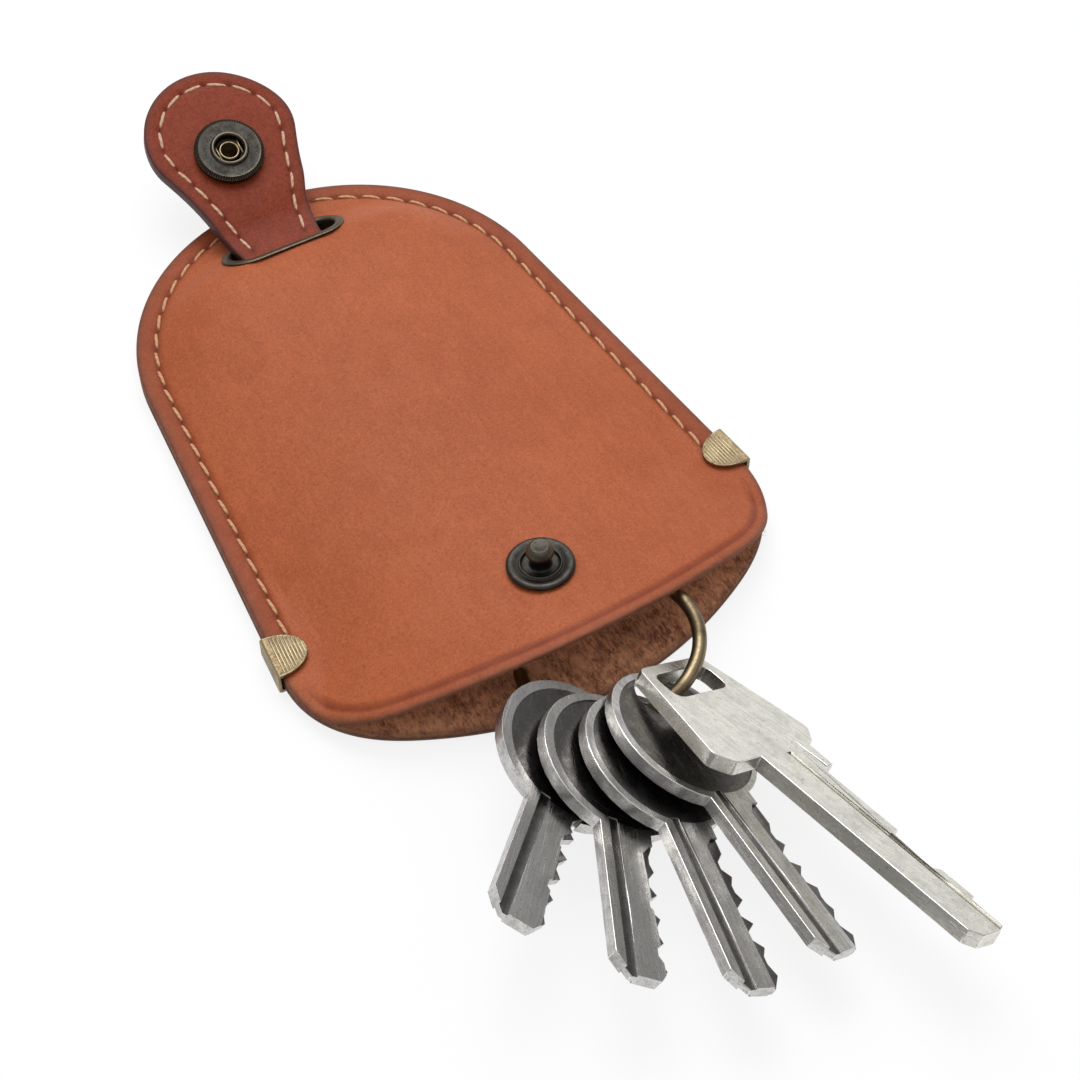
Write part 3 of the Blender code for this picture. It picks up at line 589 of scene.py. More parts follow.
def apply_modifiers(obj):
    view = bpy.context.evaluated_depsgraph_get()
    mesh = bpy.data.meshes.new_from_object(
        obj.evaluated_get(view), preserve_all_data_layers=True, depsgraph=view)
    obj.modifiers.clear()
    obj.data = mesh


def bore(obj, outline, low, high, matrix):
    """Cut an opening with the given outline through a piece."""
    bm = bmesh.new()
    face = bm.faces.new([bm.verts.new((x, y, low)) for x, y in outline])
    raised = bmesh.ops.extrude_face_region(bm, geom=[face])
    for vert in (g for g in raised["geom"] if isinstance(g, bmesh.types.BMVert)):
        vert.co.z = high
    bmesh.ops.recalc_face_normals(bm, faces=bm.faces)
    mesh = bpy.data.meshes.new("opening")
    bm.to_mesh(mesh)
    bm.free()
    cutter = bpy.data.objects.new("opening", mesh)
    bpy.context.scene.collection.objects.link(cutter)
    cutter.matrix_world = matrix
    bpy.context.view_layer.update()
    modifier = obj.modifiers.new("opening", 'BOOLEAN')
    modifier.object = cutter
    modifier.solver = 'EXACT'
    apply_modifiers(obj)
    bpy.data.objects.remove(cutter)


def circle(radius, steps, y=0.0):
    angles = [2 * pi * i / steps for i in range(steps)]
    return [(radius * cos(a), y + radius * sin(a)) for a in angles]


def slot_path(straight, steps):
    """Round a slot: the middle of each end's arc, and the direction outwards."""
    turns = [(sign, -pi / 2 + pi * i / steps) for sign in (1, -1) for i in range(steps + 1)]
    return [(sign * straight, sign * cos(angle), sign * sin(angle)) for sign, angle in turns]


def bridge(first, second, count):
    """Faces between two closed rows of points."""
    return [(first + k, first + (k + 1) % count, second + (k + 1) % count, second + k)
            for k in range(count)]


def tube_faces(first, rings, sides):
    """Faces of a closed tube whose rings of points follow one another."""
    faces = []
    for ring in range(rings - 1):
        faces += bridge(first + ring * sides, first + (ring + 1) * sides, sides)
    last = first + (rings - 1) * sides
    return faces + [tuple(range(first, first + sides))[::-1], tuple(range(last, last + sides))]


def band_faces(first, second, count, closed=True):
    """Faces between two sections of a turned or bent piece."""
    return [(first + i, second + i, second + (i + 1) % count, first + (i + 1) % count)
            for i in range(count if closed else count - 1)]


# Pouch form

def side_lean():
    return acos(ARCH_RADIUS / hypot(HALF_WIDTH, ARCH_Y)) - atan2(ARCH_Y, HALF_WIDTH)


def side_x(y):
    lean = side_lean()
    return (ARCH_RADIUS - (y - ARCH_Y) * sin(lean)) / cos(lean)


def half_edge(lip_y, lip_rise):
    """Points of the right half of a panel's edge.

    From the middle of the lip, it curves up by lip_rise to the end of the lip. A rounded corner
    leads into the straight side, and the arch follows to its top."""
    lean = side_lean()
    points = [(LIP_HALF * i / 60, lip_y + lip_rise * (i / 60) ** 2) for i in range(61)]
    start = Vector(points[-1])
    slope = 2 * lip_rise / LIP_HALF
    short = ARCH_RADIUS - start.x * cos(lean) - (start.y - ARCH_Y) * sin(lean)
    knee = start + Vector((1, slope)) * (short / (cos(lean) + slope * sin(lean)))
    end = Vector((side_x(CORNER_Y), CORNER_Y))
    for t in (i / 30 for i in range(1, 31)):
        points.append(tuple(start * (1 - t) ** 2 + knee * 2 * t * (1 - t) + end * t ** 2))
    top_y = ARCH_Y + ARCH_RADIUS * sin(lean)
    side = [CORNER_Y + (top_y - CORNER_Y) * i / 80 for i in range(1, 80)]
    points += [(side_x(y), y) for y in side]
    arch = [lean + (pi / 2 - lean) * i / 120 for i in range(121)]
    points += [(ARCH_RADIUS * cos(a), ARCH_Y + ARCH_RADIUS * sin(a)) for a in arch]
    return np.array(points)


def seam_line(edge, inset):
    """The direction inwards along a half edge, the line at the inset, and that line's length
    from the top."""
    along = np.gradient(edge, axis=0)
    along /= np.linalg.norm(along, axis=1)[:, None]
    inward = np.stack((-along[:, 1], along[:, 0]), axis=1)
    inward[-1] = (0, -1)
    inward[0] = (0, 1)
    line = edge + inward * inset
    steps = np.linalg.norm(np.diff(line, axis=0), axis=1)
    return inward, line, np.append(np.cumsum(steps[::-1])[::-1], 0.0)


def spaced_columns(edge, inward, from_top, seam_end, pitch, per_stitch, spine, shift=0.0):
    """Places round a sheet: edge point, inward direction, spine point and stitch number.

    They are spaced for whole stitches as far as the end of the seam, and mirrored to the left.
    The stitch number counts from the top, where it is the shift. It is whole at a hole, and below
    zero where there is no seam. The spine's points keep between its two heights."""
    stitches = round(seam_end / pitch - shift) + shift
    pitch = seam_end / stitches
    spots = int(stitches * per_stitch)
    wanted = [pitch * i / per_stitch for i in range(spots + 1)]
    rest = from_top[0] - wanted[-1]
    free = int(rest / FREE_STEP)
    wanted += [wanted[-1] + rest * (i + 1) / free for i in range(free)]
    number = [i / per_stitch + shift for i in range(spots + 1)] + [-1.0] * free
    order = np.argsort(from_top)
    half = []
    for length, stitch in zip(wanted, number):
        x, y, u, v = (float(np.interp(length, from_top[order], values[order, k]))
                      for values in (edge, inward) for k in (0, 1))
        half.append(((x, y), (u, v), (0.0, min(max(y, spine[0]), spine[1])), stitch))
    mirror = [((-e[0], e[1]), (-n[0], n[1]), s, c) for e, n, s, c in half[1:-1]]
    return half + mirror[::-1]


def pouch_columns(lip, sewing):
    edge = half_edge(*lip)
    inward, _, from_top = seam_line(edge, sewing.stitch_inset)
    seam_end = from_top[np.argmax(edge[:, 1] > SEAM_END_Y)]
    return spaced_columns(
        edge, inward, from_top, seam_end, sewing.stitch_pitch, sewing.per_stitch, PANEL_SPINE)


def seam_width(y):
    free = min(max(-y / FREE_LENGTH, 0.0), 1.0)
    return SEAM_MARGIN * (1 - free) + CLIP_PINCH * exp(-(y / PINCH_REACH) ** 2)


def crown_half(y):
    lean = side_lean()
    inner = ARCH_RADIUS - seam_width(y)
    rise = y - ARCH_Y
    if rise > inner * sin(lean):
        return sqrt(max(inner ** 2 - rise ** 2, 0.0))
    return inner / cos(lean) - rise * tan(lean)


def crown_height(y):
    ramp_top = SLOT_Y - RAMP_HALF
    if y > ramp_top:
        return max(BULGE_TOP - tan(RAMP_ANGLE) * (y - ramp_top), 0.0)
    return BULGE_TOP + BULGE_SLOPE * (ramp_top - y) + FLARE_RATE * max(FLARE_Y - y, 0.0) ** 2


def crown(x, y):
    half = crown_half(y)
    if abs(x) >= half:
        return 0.0
    flat = min(max((y - ARCH_Y) / (SLOT_Y - RAMP_HALF - ARCH_Y), 0.0), 1.0)
    return crown_height(y) * (1 - (abs(x) / half) ** (2 + 2 * flat))


def underside(x, y):
    return LEATHER + SEAT_GAP + crown(x, y)


def eyelet_matrix():
    centre = Vector((SLOT_X, SLOT_Y, underside(SLOT_X, SLOT_Y) + LEATHER / 2))
    return Matrix.Translation(centre) @ Matrix.Rotation(-RAMP_ANGLE, 4, 'X')


def bell(value, middle, width):
    return exp(-((value - middle) / width) ** 2)


def ease(value, low, high):
    t = min(max((value - low) / (high - low), 0.0), 1.0)
    return t * t * (3 - 2 * t)


def build_sheet(columns, depths, spans, surface, edge_roll, roll_steps=4):
    """A closed sheet of leather with rounded edges: its (flat point, height), faces and marks.

    Rows run from the rounded edge inwards by each depth, then in the given shares of the way to
    the spine. surface(point, depth, stitch, side) gives the heights of the upper and lower face,
    the point's place for the finish, and how far it is shaded and raw."""
    turns = [pi / 2 * i / roll_steps for i in range(roll_steps + 1)]
    plan = [(edge_roll * (1 - cos(a)), edge_roll * (1 - sin(a)), 1 - 0.5 * sin(a)) for a in turns]
    plan += [(d, 0.0, max(1 - (d - edge_roll) / EDGE_FADE, 0.0) * 0.5) for d in depths]
    per_side = len(plan) + len(spans)
    verts, rest, marks = [], [], {"edge": [], "shade": [], "flesh": []}
    for side, step in ((side, step) for side in (1, -1) for step in range(per_side)):
        for edge, inward, spine, stitch in columns:
            edge, inward, spine = Vector(edge), Vector(inward), Vector(spine)
            room = (spine - edge).length
            last = min(plan[-1][0], room * 0.8)
            if step < len(plan):
                depth, drop, edge_mark = plan[step]
                depth = min(depth, last * (0.5 + 0.5 * step / len(plan)))
                point = edge + inward * depth
            else:
                share = spans[step - len(plan)]
                point = (edge + inward * last).lerp(spine, share)
                depth, drop, edge_mark = last + share * (room - last), 0.0, 0.0
            upper, lower, where, shade, flesh = surface(point, depth, stitch, side)
            height = upper - drop if side > 0 else lower + drop
            if step == 0:
                height = (upper + lower) / 2 + side * max((upper - lower) / 2 - edge_roll, 0.0)
            verts.append((point, height))
            rest.append((where[0], where[1], height))
            marks["edge"].append(edge_mark)
            marks["shade"].append(shade)
            marks["flesh"].append(flesh)
    count = len(columns)
    pairs = [(i, i + 1) for i in range(per_side - 1)]
    pairs += [(per_side + i + 1, per_side + i) for i in range(per_side - 1)]
    pairs.append((per_side, 0))
    faces = [face for a, b in pairs for face in bridge(a * count, b * count, count)]
    return verts, faces, {"rest": rest, **marks}


def ripple(x, y, scale, seed):
    return noise.noise(Vector((x * scale, y * scale, seed)))


def seam_press(depth, stitch, inset, width, hole_share):
    """How far the seam's groove and a stitch hole are pressed in at a place, from 0 to 1."""
    if stitch < 0:
        return 0.0, 0.0
    groove = bell(depth, inset, width)
    return groove, groove * bell(abs(stitch - round(stitch)), 0.0, hole_share)


def front_surface(sewing):
    inset = sewing.stitch_inset

    def surface(point, depth, stitch, side):
        x, y = point
        low = underside(x, y)
        lip = ease(-y, 0.004, 0.012)
        inside = ease(depth, 0.004, 0.010)
        wave = WAVE_RISE * ripple(x, y, 60, 2.0) * inside
        away = (x - SWELL_SPOT[0]) ** 2 + (y - SWELL_SPOT[1]) ** 2
        wave += SWELL_RISE * exp(-away / SWELL_REACH ** 2) * inside
        groove, hole = seam_press(depth, stitch, inset, GROOVE_WIDTH, FRONT_HOLE_SHARE)
        border = (1 - ease(depth, 0.0036, 0.0044)) * ease(y, -0.004, 0.004)
        crease = bell(depth, CREASE_INSET + 0.0002 * ripple(x, y, 160, 4.0), CREASE_WIDTH) * lip
        fall = (1 - ease(depth, 0.0004, 0.0030)) * lip
        rub = 0.5 + 0.5 * ripple(x, y, 420, 3.0)
        top = low + LEATHER + (
            wave - FRONT_GROOVE * groove - FRONT_HOLE * hole - BORDER_PRESS * border
            - CREASE_DEPTH * crease - LIP_FALL * fall)
        # Pressed border and seam groove darker, and painted shade in the stitch holes, in the
        # mouth's crease and on the falling lip
        shade = max((0.44 + 0.18 * rub) * border + 0.28 * groove, hole,
                    (0.70 + 0.30 * rub) * crease, 0.30 * fall * rub)
        looks = (shade, 0.0) if side > 0 else (0.0, 1.0)
        return top, low + wave + LIP_SKIVE * lip, (x, y), *looks

    return surface


def back_surface(sewing):
    inset = sewing.stitch_inset

    def surface(point, depth, stitch, side):
        x, y = point
        groove, hole = seam_press(depth, stitch, inset, GROOVE_WIDTH, BACK_HOLE_SHARE)
        border = 0.0 if stitch < 0 else 1 - ease(depth, 0.0034, 0.0046)
        looks = (0.0, 1.0) if side > 0 else (max(0.5 * border, hole), 0.0)
        top = LEATHER + BACK_FUZZ * ripple(x, y, 900, 5.0)
        return top, BACK_GROOVE * groove + BACK_HOLE * hole, (x, y), *looks

    return surface


def stitch_holes(columns, inset):
    """The holes of a seam in order, each as point and inward direction."""
    return [(Vector(edge) + Vector(inward) * inset, Vector(inward))
            for edge, inward, _, stitch in columns
            if stitch >= 0 and abs(stitch - round(stitch)) < 1e-6]


def stitches_along(*runs):
    """The stitches along runs of holes, each as its two holes and the direction inwards."""
    return [(a, b, inward) for run in runs for (a, inward), (b, _) in zip(run, run[1:])]


def thread_run(ends, lift_at, radius, slant, sides=8, steps=9):
    """Stitches between pairs of holes. lift_at(point, height) gives a point above the leather."""
    verts, faces, rest, shade = [], [], [], []
    for first, second, across in ends:
        run = second - first
        length = run.length
        along = run / length
        reach = length * 0.5 * STITCH_SHARE
        middle = (first + second) / 2
        base = len(verts)
        for i in range(steps + 1):
            t = -1 + 2 * i / steps
            arch = 1 - abs(t) ** 3.2
            spot = middle + along * (t * reach) + across * (slant * t)
            height = -THREAD_SINK + (THREAD_SINK + radius * 0.45) * arch
            size = radius * (0.70 + 0.30 * (1 - t * t))
            for k in range(sides):
                angle = 2 * pi * k / sides
                lift = height + size * 0.85 * sin(angle)
                verts.append(lift_at(spot + across * (size * cos(angle)), lift))
                rest.append((t * reach, k / sides, 0.0))
                shade.append(max(0.0, (abs(t) - 0.72) / 0.28) ** 1.5)
        faces += tube_faces(base, steps + 1, sides)
    return verts, faces, {"rest": rest, "shade": shade}


# Strap and tongue form

def strap_floor():
    return LEATHER + SEAT_GAP + STRAP_THICK / 2


def strap_slope():
    return atan((underside(0, SLOT_Y) + LEATHER / 2 - strap_floor()) / (SLOT_Y - LOOP_Y))


def strap_path():
    """Side view of the leather's middle line: from the tail, round the eye and out to the tip.

    Gives the length so far, y, z, the direction's angle and the thickness at each point."""
    pitch = strap_slope()
    floor = strap_floor()
    half = STRAP_THICK / 2
    eye_z = floor - half + LOOP_LAYER + LOOP_HOLE_HEIGHT
    layer = LOOP_LAYER - LOOP_CLEAR
    points = []
    tail_y = LOOP_Y + LOOP_TAIL + TAIL_SPARE
    tail_z = floor + (tail_y - LOOP_Y) * tan(pitch) + half - layer / 2
    a, b = LOOP_HOLE_LENGTH + LOOP_LAYER / 2, LOOP_HOLE_HEIGHT + LOOP_LAYER / 2
    rise = eye_z + b - tail_z
    for t in (i / TAIL_STEPS for i in range(TAIL_STEPS + 1)):
        points.append((tail_y + (LOOP_Y - tail_y) * t, tail_z + rise * ease(t, 0.0, 1.0), layer))
    for angle in (pi / 2 + pi * i / EYE_STEPS for i in range(1, EYE_STEPS)):
        points.append((LOOP_Y + a * cos(angle), eye_z + b * sin(angle), layer))
    for i in range(81):
        y = LOOP_Y + (SLOT_Y - LOOP_Y) * i / 80
        grown = ease(y, LOOP_Y + LOOP_TAIL, LOOP_Y + LOOP_TAIL + THICKEN_LENGTH)
        low = floor - half + (y - LOOP_Y) * tan(pitch)
        thick = layer + (STRAP_THICK - layer) * grown
        points.append((y, low + thick / 2, thick))
    y, z, _ = points[-1]
    for i in range(8):
        angle = pitch + (TONGUE_PITCH - pitch) * (i + 0.5) / 8
        y += cos(angle) * BEND_LENGTH / 8
        z += sin(angle) * BEND_LENGTH / 8
        points.append((y, z, STRAP_THICK))
    hinge = Vector((y, z))
    along = Vector((cos(TONGUE_PITCH), sin(TONGUE_PITCH)))
    for i in range(1, 41):
        s = (HEAD_Y + HEAD_RADIUS) * i / 40
        spot = hinge + along * s
        thick = STRAP_THICK + (TONGUE_THICK - STRAP_THICK) * ease(s, -0.002, 0.004)
        points.append((spot.x, spot.y, thick))
    points = np.array(points)
    lengths = np.append(0.0, np.cumsum(np.hypot(*np.diff(points[:, :2], axis=0).T)))
    direction = np.gradient(points[:, :2], axis=0)
    angle = np.unwrap(np.arctan2(direction[:, 1], direction[:, 0]))
    return lengths, points[:, 0], points[:, 1], angle, points[:, 2]


def neck_fillet():
    """Where the fillet of the neck is struck from: across the tongue, and along it from the
    hinge."""
    across = NECK_HALF + NECK_FILLET
    return across, HEAD_Y - sqrt((HEAD_RADIUS + NECK_FILLET) ** 2 - across ** 2)


def neck_half(y):
    across, middle = neck_fillet()
    return across - sqrt(NECK_FILLET ** 2 - (y - middle) ** 2)


class StrapForm:
    """Bends flat leather, x across and s along, to the strap's side view."""

    def __init__(self):
        lengths, y, z, angle, thick = strap_path()
        self.total = lengths[-1]
        self.hinge = self.total - HEAD_Y - HEAD_RADIUS
        self.head = self.total - HEAD_RADIUS
        straight = TAIL_STEPS + EYE_STEPS
        self.loop = float(np.interp(LOOP_Y, y[straight:], lengths[straight:]))
        tip = angle[-1]
        self.lengths = np.append(lengths, self.total + TIP_SPARE)
        self.y = np.append(y, y[-1] + TIP_SPARE * cos(tip))
        self.z = np.append(z, z[-1] + TIP_SPARE * sin(tip))
        self.angle, self.thick = np.append(angle, tip), np.append(thick, thick[-1])

    def half(self, s):
        """Half the leather's width at a length along it."""
        grown = ease(s, self.loop, self.loop + TAPER_LENGTH)
        return LOOP_HALF + (STRAP_HALF - LOOP_HALF) * grown

    def at(self, x, s, height):
        """A point of the bent leather. The tongue's head is cut fuller than the solid, and more so
        on its right."""
        swell = ease(s, self.hinge + 0.003, self.head)
        full = ease(x, 0.0, 0.006) * ease(s, self.hinge, self.hinge + 0.006)
        full *= 1 - ease(s, self.head, self.head + 0.011)
        x += swell * (HEAD_WIDER * x + HEAD_SHIFT) + HEAD_FULL * full
        s += swell * HEAD_LONGER * max(s - self.head, 0.0)
        y, z, angle = (np.interp(s, self.lengths, v) for v in (self.y, self.z, self.angle))
        ahead = y - sin(angle) * height - LOOP_Y
        lean_x, lean_y = cos(STRAP_LEAN), sin(STRAP_LEAN)
        return (x * lean_x - ahead * lean_y, x * lean_y + ahead * lean_x + LOOP_Y,
                z + cos(angle) * height)

    def thickness(self, s):
        return float(np.interp(s, self.lengths, self.thick))

    def outline(self):
        """Points of the right half of the flat leather's edge, from the tail to the tip."""
        across, middle = neck_fillet()
        first = pi - asin(-middle / NECK_FILLET)
        touch = atan2(HEAD_Y - middle, -across)
        tail = self.half(0)
        right = [(0.0, 0.0), (tail * 0.5, 0.0), (tail - TAIL_CORNER, 0.0)]
        right += [(tail - TAIL_CORNER + TAIL_CORNER * sin(a), TAIL_CORNER * (1 - cos(a)))
                  for a in (pi / 2 * i / 3 for i in (1, 2))]
        for s in np.arange(ROW_STEP, self.hinge, ROW_STEP):
            share = max(1 - (self.hinge - s) / BEND_LENGTH, 0.0)
            right.append((self.half(s) + (neck_half(0.0) - STRAP_HALF) * share, s))
        for angle in (first + (touch - first) * i / 24 for i in range(25)):
            s = self.hinge + middle + NECK_FILLET * sin(angle)
            right.append((across + NECK_FILLET * cos(angle), s))
        for angle in (touch - pi + (pi / 2 - touch + pi) * i / 60 for i in range(1, 61)):
            right.append((HEAD_RADIUS * cos(angle), self.head + HEAD_RADIUS * sin(angle)))
        edge = np.array(right)
        return edge[np.append(True, np.linalg.norm(np.diff(edge, axis=0), axis=1) > 1e-6)]

    def columns(self, sewing):
        """Places round the strap's flat outline, with half a stitch on each side of the tip."""
        edge = self.outline()
        inward, line, from_top = seam_line(edge, sewing.tongue_inset)
        seam_end = float(np.interp(self.hinge - BEND_LENGTH * 0.9, line[:, 1], from_top))
        return spaced_columns(edge, inward, from_top, seam_end, sewing.tongue_pitch,
                              sewing.per_stitch, (TONGUE_SPINE_START, self.head), 0.5)


def strap_surface(form, inset):
    def surface(point, depth, stitch, side):
        x, s = point
        half = form.thickness(s) / 2
        groove, hole = seam_press(depth, stitch, inset, STRAP_GROOVE_WIDTH, STRAP_HOLE_SHARE)
        sunk = STRAP_GROOVE * groove + STRAP_HOLE * hole
        puff = STRAP_PUFF * ripple(x, s, 110, 9.0 + side)
        shade = max(0.28 * groove, hole)
        return half - sunk + puff, -half + sunk + puff, (x, s + STRAP_REST_AWAY), shade, 0.0

    return surface


def eased_line(points, closed, times=2):
    """Cut the corners of a line, so that it becomes smooth."""
    for _ in range(times):
        pairs = list(zip(points, points[1:] + points[:1]))
        if not closed:
            pairs.pop()
        cut = []
        for first, second in pairs:
            cut.append(tuple(0.75 * a + 0.25 * b for a, b in zip(first, second)))
            cut.append(tuple(0.25 * a + 0.75 * b for a, b in zip(first, second)))
        points = cut if closed else [points[0]] + cut[1:-1] + [points[-1]]
    return points


def turned(name, profile, material, matrix, closed=False, steps=72, teeth=None):
    """A piece turned about Z from (radius, height, wear) in millimetres.

    Teeth are (inner radius, outer radius, lowest height, depth). There, every other column is
    pressed in and marked as a hollow, so that its finish paints shade between the teeth."""
    line = eased_line(profile, closed)
    verts, faces, worn, hollow = [], [], [], []
    count = len(line)
    for step in range(steps):
        angle = 2 * pi * step / steps
        for radius, height, wear in line:
            toothed = teeth and teeth[0] < radius < teeth[1] and height > teeth[2]
            pressed_and_shaded = bool(toothed and step % 2)
            height -= teeth[3] if pressed_and_shaded else 0.0
            verts.append((radius * cos(angle) / 1000, radius * sin(angle) / 1000, height / 1000))
            worn.append(0.0 if pressed_and_shaded else wear)
            hollow.append(1.0 if pressed_and_shaded else 0.0)
        faces += band_faces(step * count, (step + 1) % steps * count, count, closed)
    return piece(name, verts, faces, material, matrix, {"worn": worn, "hollow": hollow}, 50)


def slot_band(name, half_length, half_width, section, material, matrix, steps=20):
    """A band round a slot, from the (outwards, height, wear) of its section in millimetres."""
    line = eased_line(section, True)
    path = slot_path(half_length - half_width, steps)
    verts, faces, worn = [], [], []
    count = len(line)
    for index, (middle, u, v) in enumerate(path):
        for out, height, wear in line:
            reach = half_width + out / 1000
            verts.append((middle + reach * u, reach * v, height / 1000))
            worn.append(wear)
        faces += band_faces(index * count, (index + 1) % len(path) * count, count)
    return piece(name, verts, faces, material, matrix, {"worn": worn}, 50)


def rib_rods(name, rods, width, height, material, matrix, sides=6):
    """Half-round ribs that lie along Y, each given as (x, half length, base height)."""
    verts, faces, worn = [], [], []
    for x, half, base in rods:
        first = len(verts)
        for y, size in ((-half, 0.1), (-half + width, 1.0), (half - width, 1.0), (half, 0.1)):
            for angle in (pi * k / sides for k in range(sides + 1)):
                lift = base - RIB_SEAT + height * size * sin(angle)
                verts.append((x + width * cos(angle), y, lift))
                worn.append(0.9 * size * sin(angle) ** 3)
        faces += tube_faces(first, 4, sides + 1)
    return piece(name, verts, faces, material, matrix, {"worn": worn}, 60)


def wire_ring(name, material, matrix, steps=128, sides=20):
    """A round wire bent to a ring, with a narrow slit at the top. Its upper side is lighter: rubbed
    patches, and a painted highlight along it.
    """
    verts, faces, worn = [], [], []
    for i in range(steps + 1):
        turn = pi / 2 + RING_SLIT / 2 + (2 * pi - RING_SLIT) * i / steps
        patches = 0.55 + 0.45 * sin(5.0 * turn + 1.3 * sin(11.0 * turn))
        for angle in (2 * pi * k / sides for k in range(sides)):
            reach = RING_RADIUS + RING_WIRE * cos(angle)
            verts.append((reach * cos(turn), reach * sin(turn), RING_WIRE * sin(angle)))
            # Rubbed patches, and a painted highlight along the wire's upper side, carried by the
            # worn mark
            worn.append(max(sin(angle + 0.5), 0.0) ** 6 * patches)
        if i:
            faces += band_faces((i - 1) * sides, i * sides, sides)
    faces.append(tuple(range(sides)))
    faces.append(tuple(range(steps * sides, (steps + 1) * sides))[::-1])
    return piece(name, verts, faces, material, matrix, {"worn": worn}, 50)


def lip_fibres(name, columns, material):
    """Loose fibres along the cut edge of the front panel's mouth."""
    rng = random.Random(FIBRE_SEED)
    spots = [(Vector(e), Vector(n)) for e, n, _, _ in columns if e[1] < MOUTH_Y]
    verts, faces, flesh = [], [], []
    for _ in range(FIBRE_COUNT):
        edge, inward = rng.choice(spots)
        spot = edge + Vector((-inward.y, inward.x)) * rng.uniform(-0.0006, 0.0006) + inward * 0.0002
        lift = underside(spot.x, spot.y) + LEATHER * rng.uniform(0.10, 0.55)
        root = Vector((spot.x, spot.y, lift))
        aim = Vector((-inward.x, -inward.y, rng.uniform(-0.6, 0.5)))
        aim += Vector((rng.uniform(-1, 1), rng.uniform(-0.4, 0.4), 0))
        bend = Vector((rng.uniform(-1, 1), rng.uniform(-0.5, 0.5), rng.uniform(-0.8, 0.4)))
        length, width = rng.uniform(0.0003, 0.0009), rng.uniform(0.00002, 0.00004)
        first = len(verts)
        for t in (step / 3 for step in range(4)):
            middle = root + (aim.normalized() * t + bend * (0.35 * t * t)) * length
            size = width * (1 - 0.7 * t)
            verts += [middle + Vector((size * cos(a), 0, size * sin(a))) for a in (0.0, 2.1, 4.2)]
            flesh += [1.0] * 3
        faces += tube_faces(first, 4, 3)
    none = [0.0] * len(verts)
    marks = {"flesh": flesh, "edge": none, "shade": none, "rest": verts}
    return piece(name, verts, faces, material, marks=marks)


def wall_height(face):
    """How tall an upright face stands, or 0 where the face doesn't stand upright."""
    if abs(face.normal.z) > UPRIGHT:
        return 0.0
    heights = [v.co.z for v in face.verts]
    return max(heights) - min(heights)


def round_off(bm, edges, width, segments):
    """Round edges off and give the new faces."""
    result = bmesh.ops.bevel(bm, geom=edges, offset=width, offset_type='OFFSET', segments=segments,
                             profile=0.5, affect='EDGES', clamp_overlap=True)
    return set(result["faces"])


def wear_marks(bm, rounded, wall_shade):
    """Marks of wear and of a hollow for each point.

    The middle of a rounded edge is worn. A face that lies below the top and bottom of the piece is
    a hollow, and the share given for walls is how much of one an upright face is, for painted shade
    on the walls."""
    worn = [1.0 if all(face in rounded for face in v.link_faces) else 0.0 for v in bm.verts]
    heights = [v.co.z for v in bm.verts]
    low, high = min(heights) + SKIN, max(heights) - SKIN
    sunk = {v for face in bm.faces if abs(face.normal.z) > LEVEL and face not in rounded
            and low < face.calc_center_median().z < high for v in face.verts}
    upright = {v for v in bm.verts
               if all(f not in rounded and abs(f.normal.z) < UPRIGHT for f in v.link_faces)}
    return worn, [1.0 if v in sunk else wall_shade if v in upright else 0.0 for v in bm.verts]


def softened(node, width, material, place=None, cuts=(), tall=0.0, wall_shade=0.0):
    """A CAD node's form with its edges rounded off, and with more openings cut in its own frame.

    The edges of upright faces of at least the tall height get the full width, and the others a
    fine line. The mesh ends in the frame's own coordinates, and keeps the piece's own as a mark."""
    place = place or Matrix()
    name = node + "_finished"
    mesh = NODES[node].data.copy()
    mesh.transform(place.inverted())
    obj = bpy.data.objects.new(name, mesh)
    bpy.context.scene.collection.objects.link(obj)
    for outline, low, high in cuts:
        bore(obj, outline, low, high, Matrix())
    bm = bmesh.new()
    bm.from_mesh(obj.data)
    bmesh.ops.remove_doubles(bm, verts=bm.verts, dist=WELD)
    bmesh.ops.dissolve_limit(bm, angle_limit=radians(1.0), verts=bm.verts, edges=bm.edges)
    sharp = [e for e in bm.edges if len(e.link_faces) == 2 and e.calc_face_angle(0) > SHARP_EDGE]
    broad = [e for e in sharp if max(wall_height(f) for f in e.link_faces) >= tall]
    fine = [e for e in sharp if e not in set(broad)]
    rounded = round_off(bm, broad, width, 2)
    if fine:
        round_off(bm, [e for e in fine if e.is_valid], FINE_BEVEL, 1)
    bmesh.ops.remove_doubles(bm, verts=bm.verts, dist=LAST_WELD)
    bmesh.ops.dissolve_degenerate(bm, dist=LAST_WELD, edges=bm.edges)
    worn, hollow = wear_marks(bm, {face for face in rounded if face.is_valid}, wall_shade)
    mesh = bpy.data.meshes.new(name)
    bm.to_mesh(mesh)
    bm.free()
    mesh.materials.clear()
    mesh.materials.append(material)
    put_marks(mesh, worn=worn, hollow=hollow, rest=[v.co for v in mesh.vertices])
    mesh.transform(place)
    mesh.shade_smooth()
    mesh.set_sharp_from_angle(angle=radians(50))
    obj.data = mesh
    even = obj.modifiers.new("even_shading", 'WEIGHTED_NORMAL')
    even.keep_sharp = True
    bpy.context.view_layer.update()
    apply_modifiers(obj)
    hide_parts(node)
    return obj


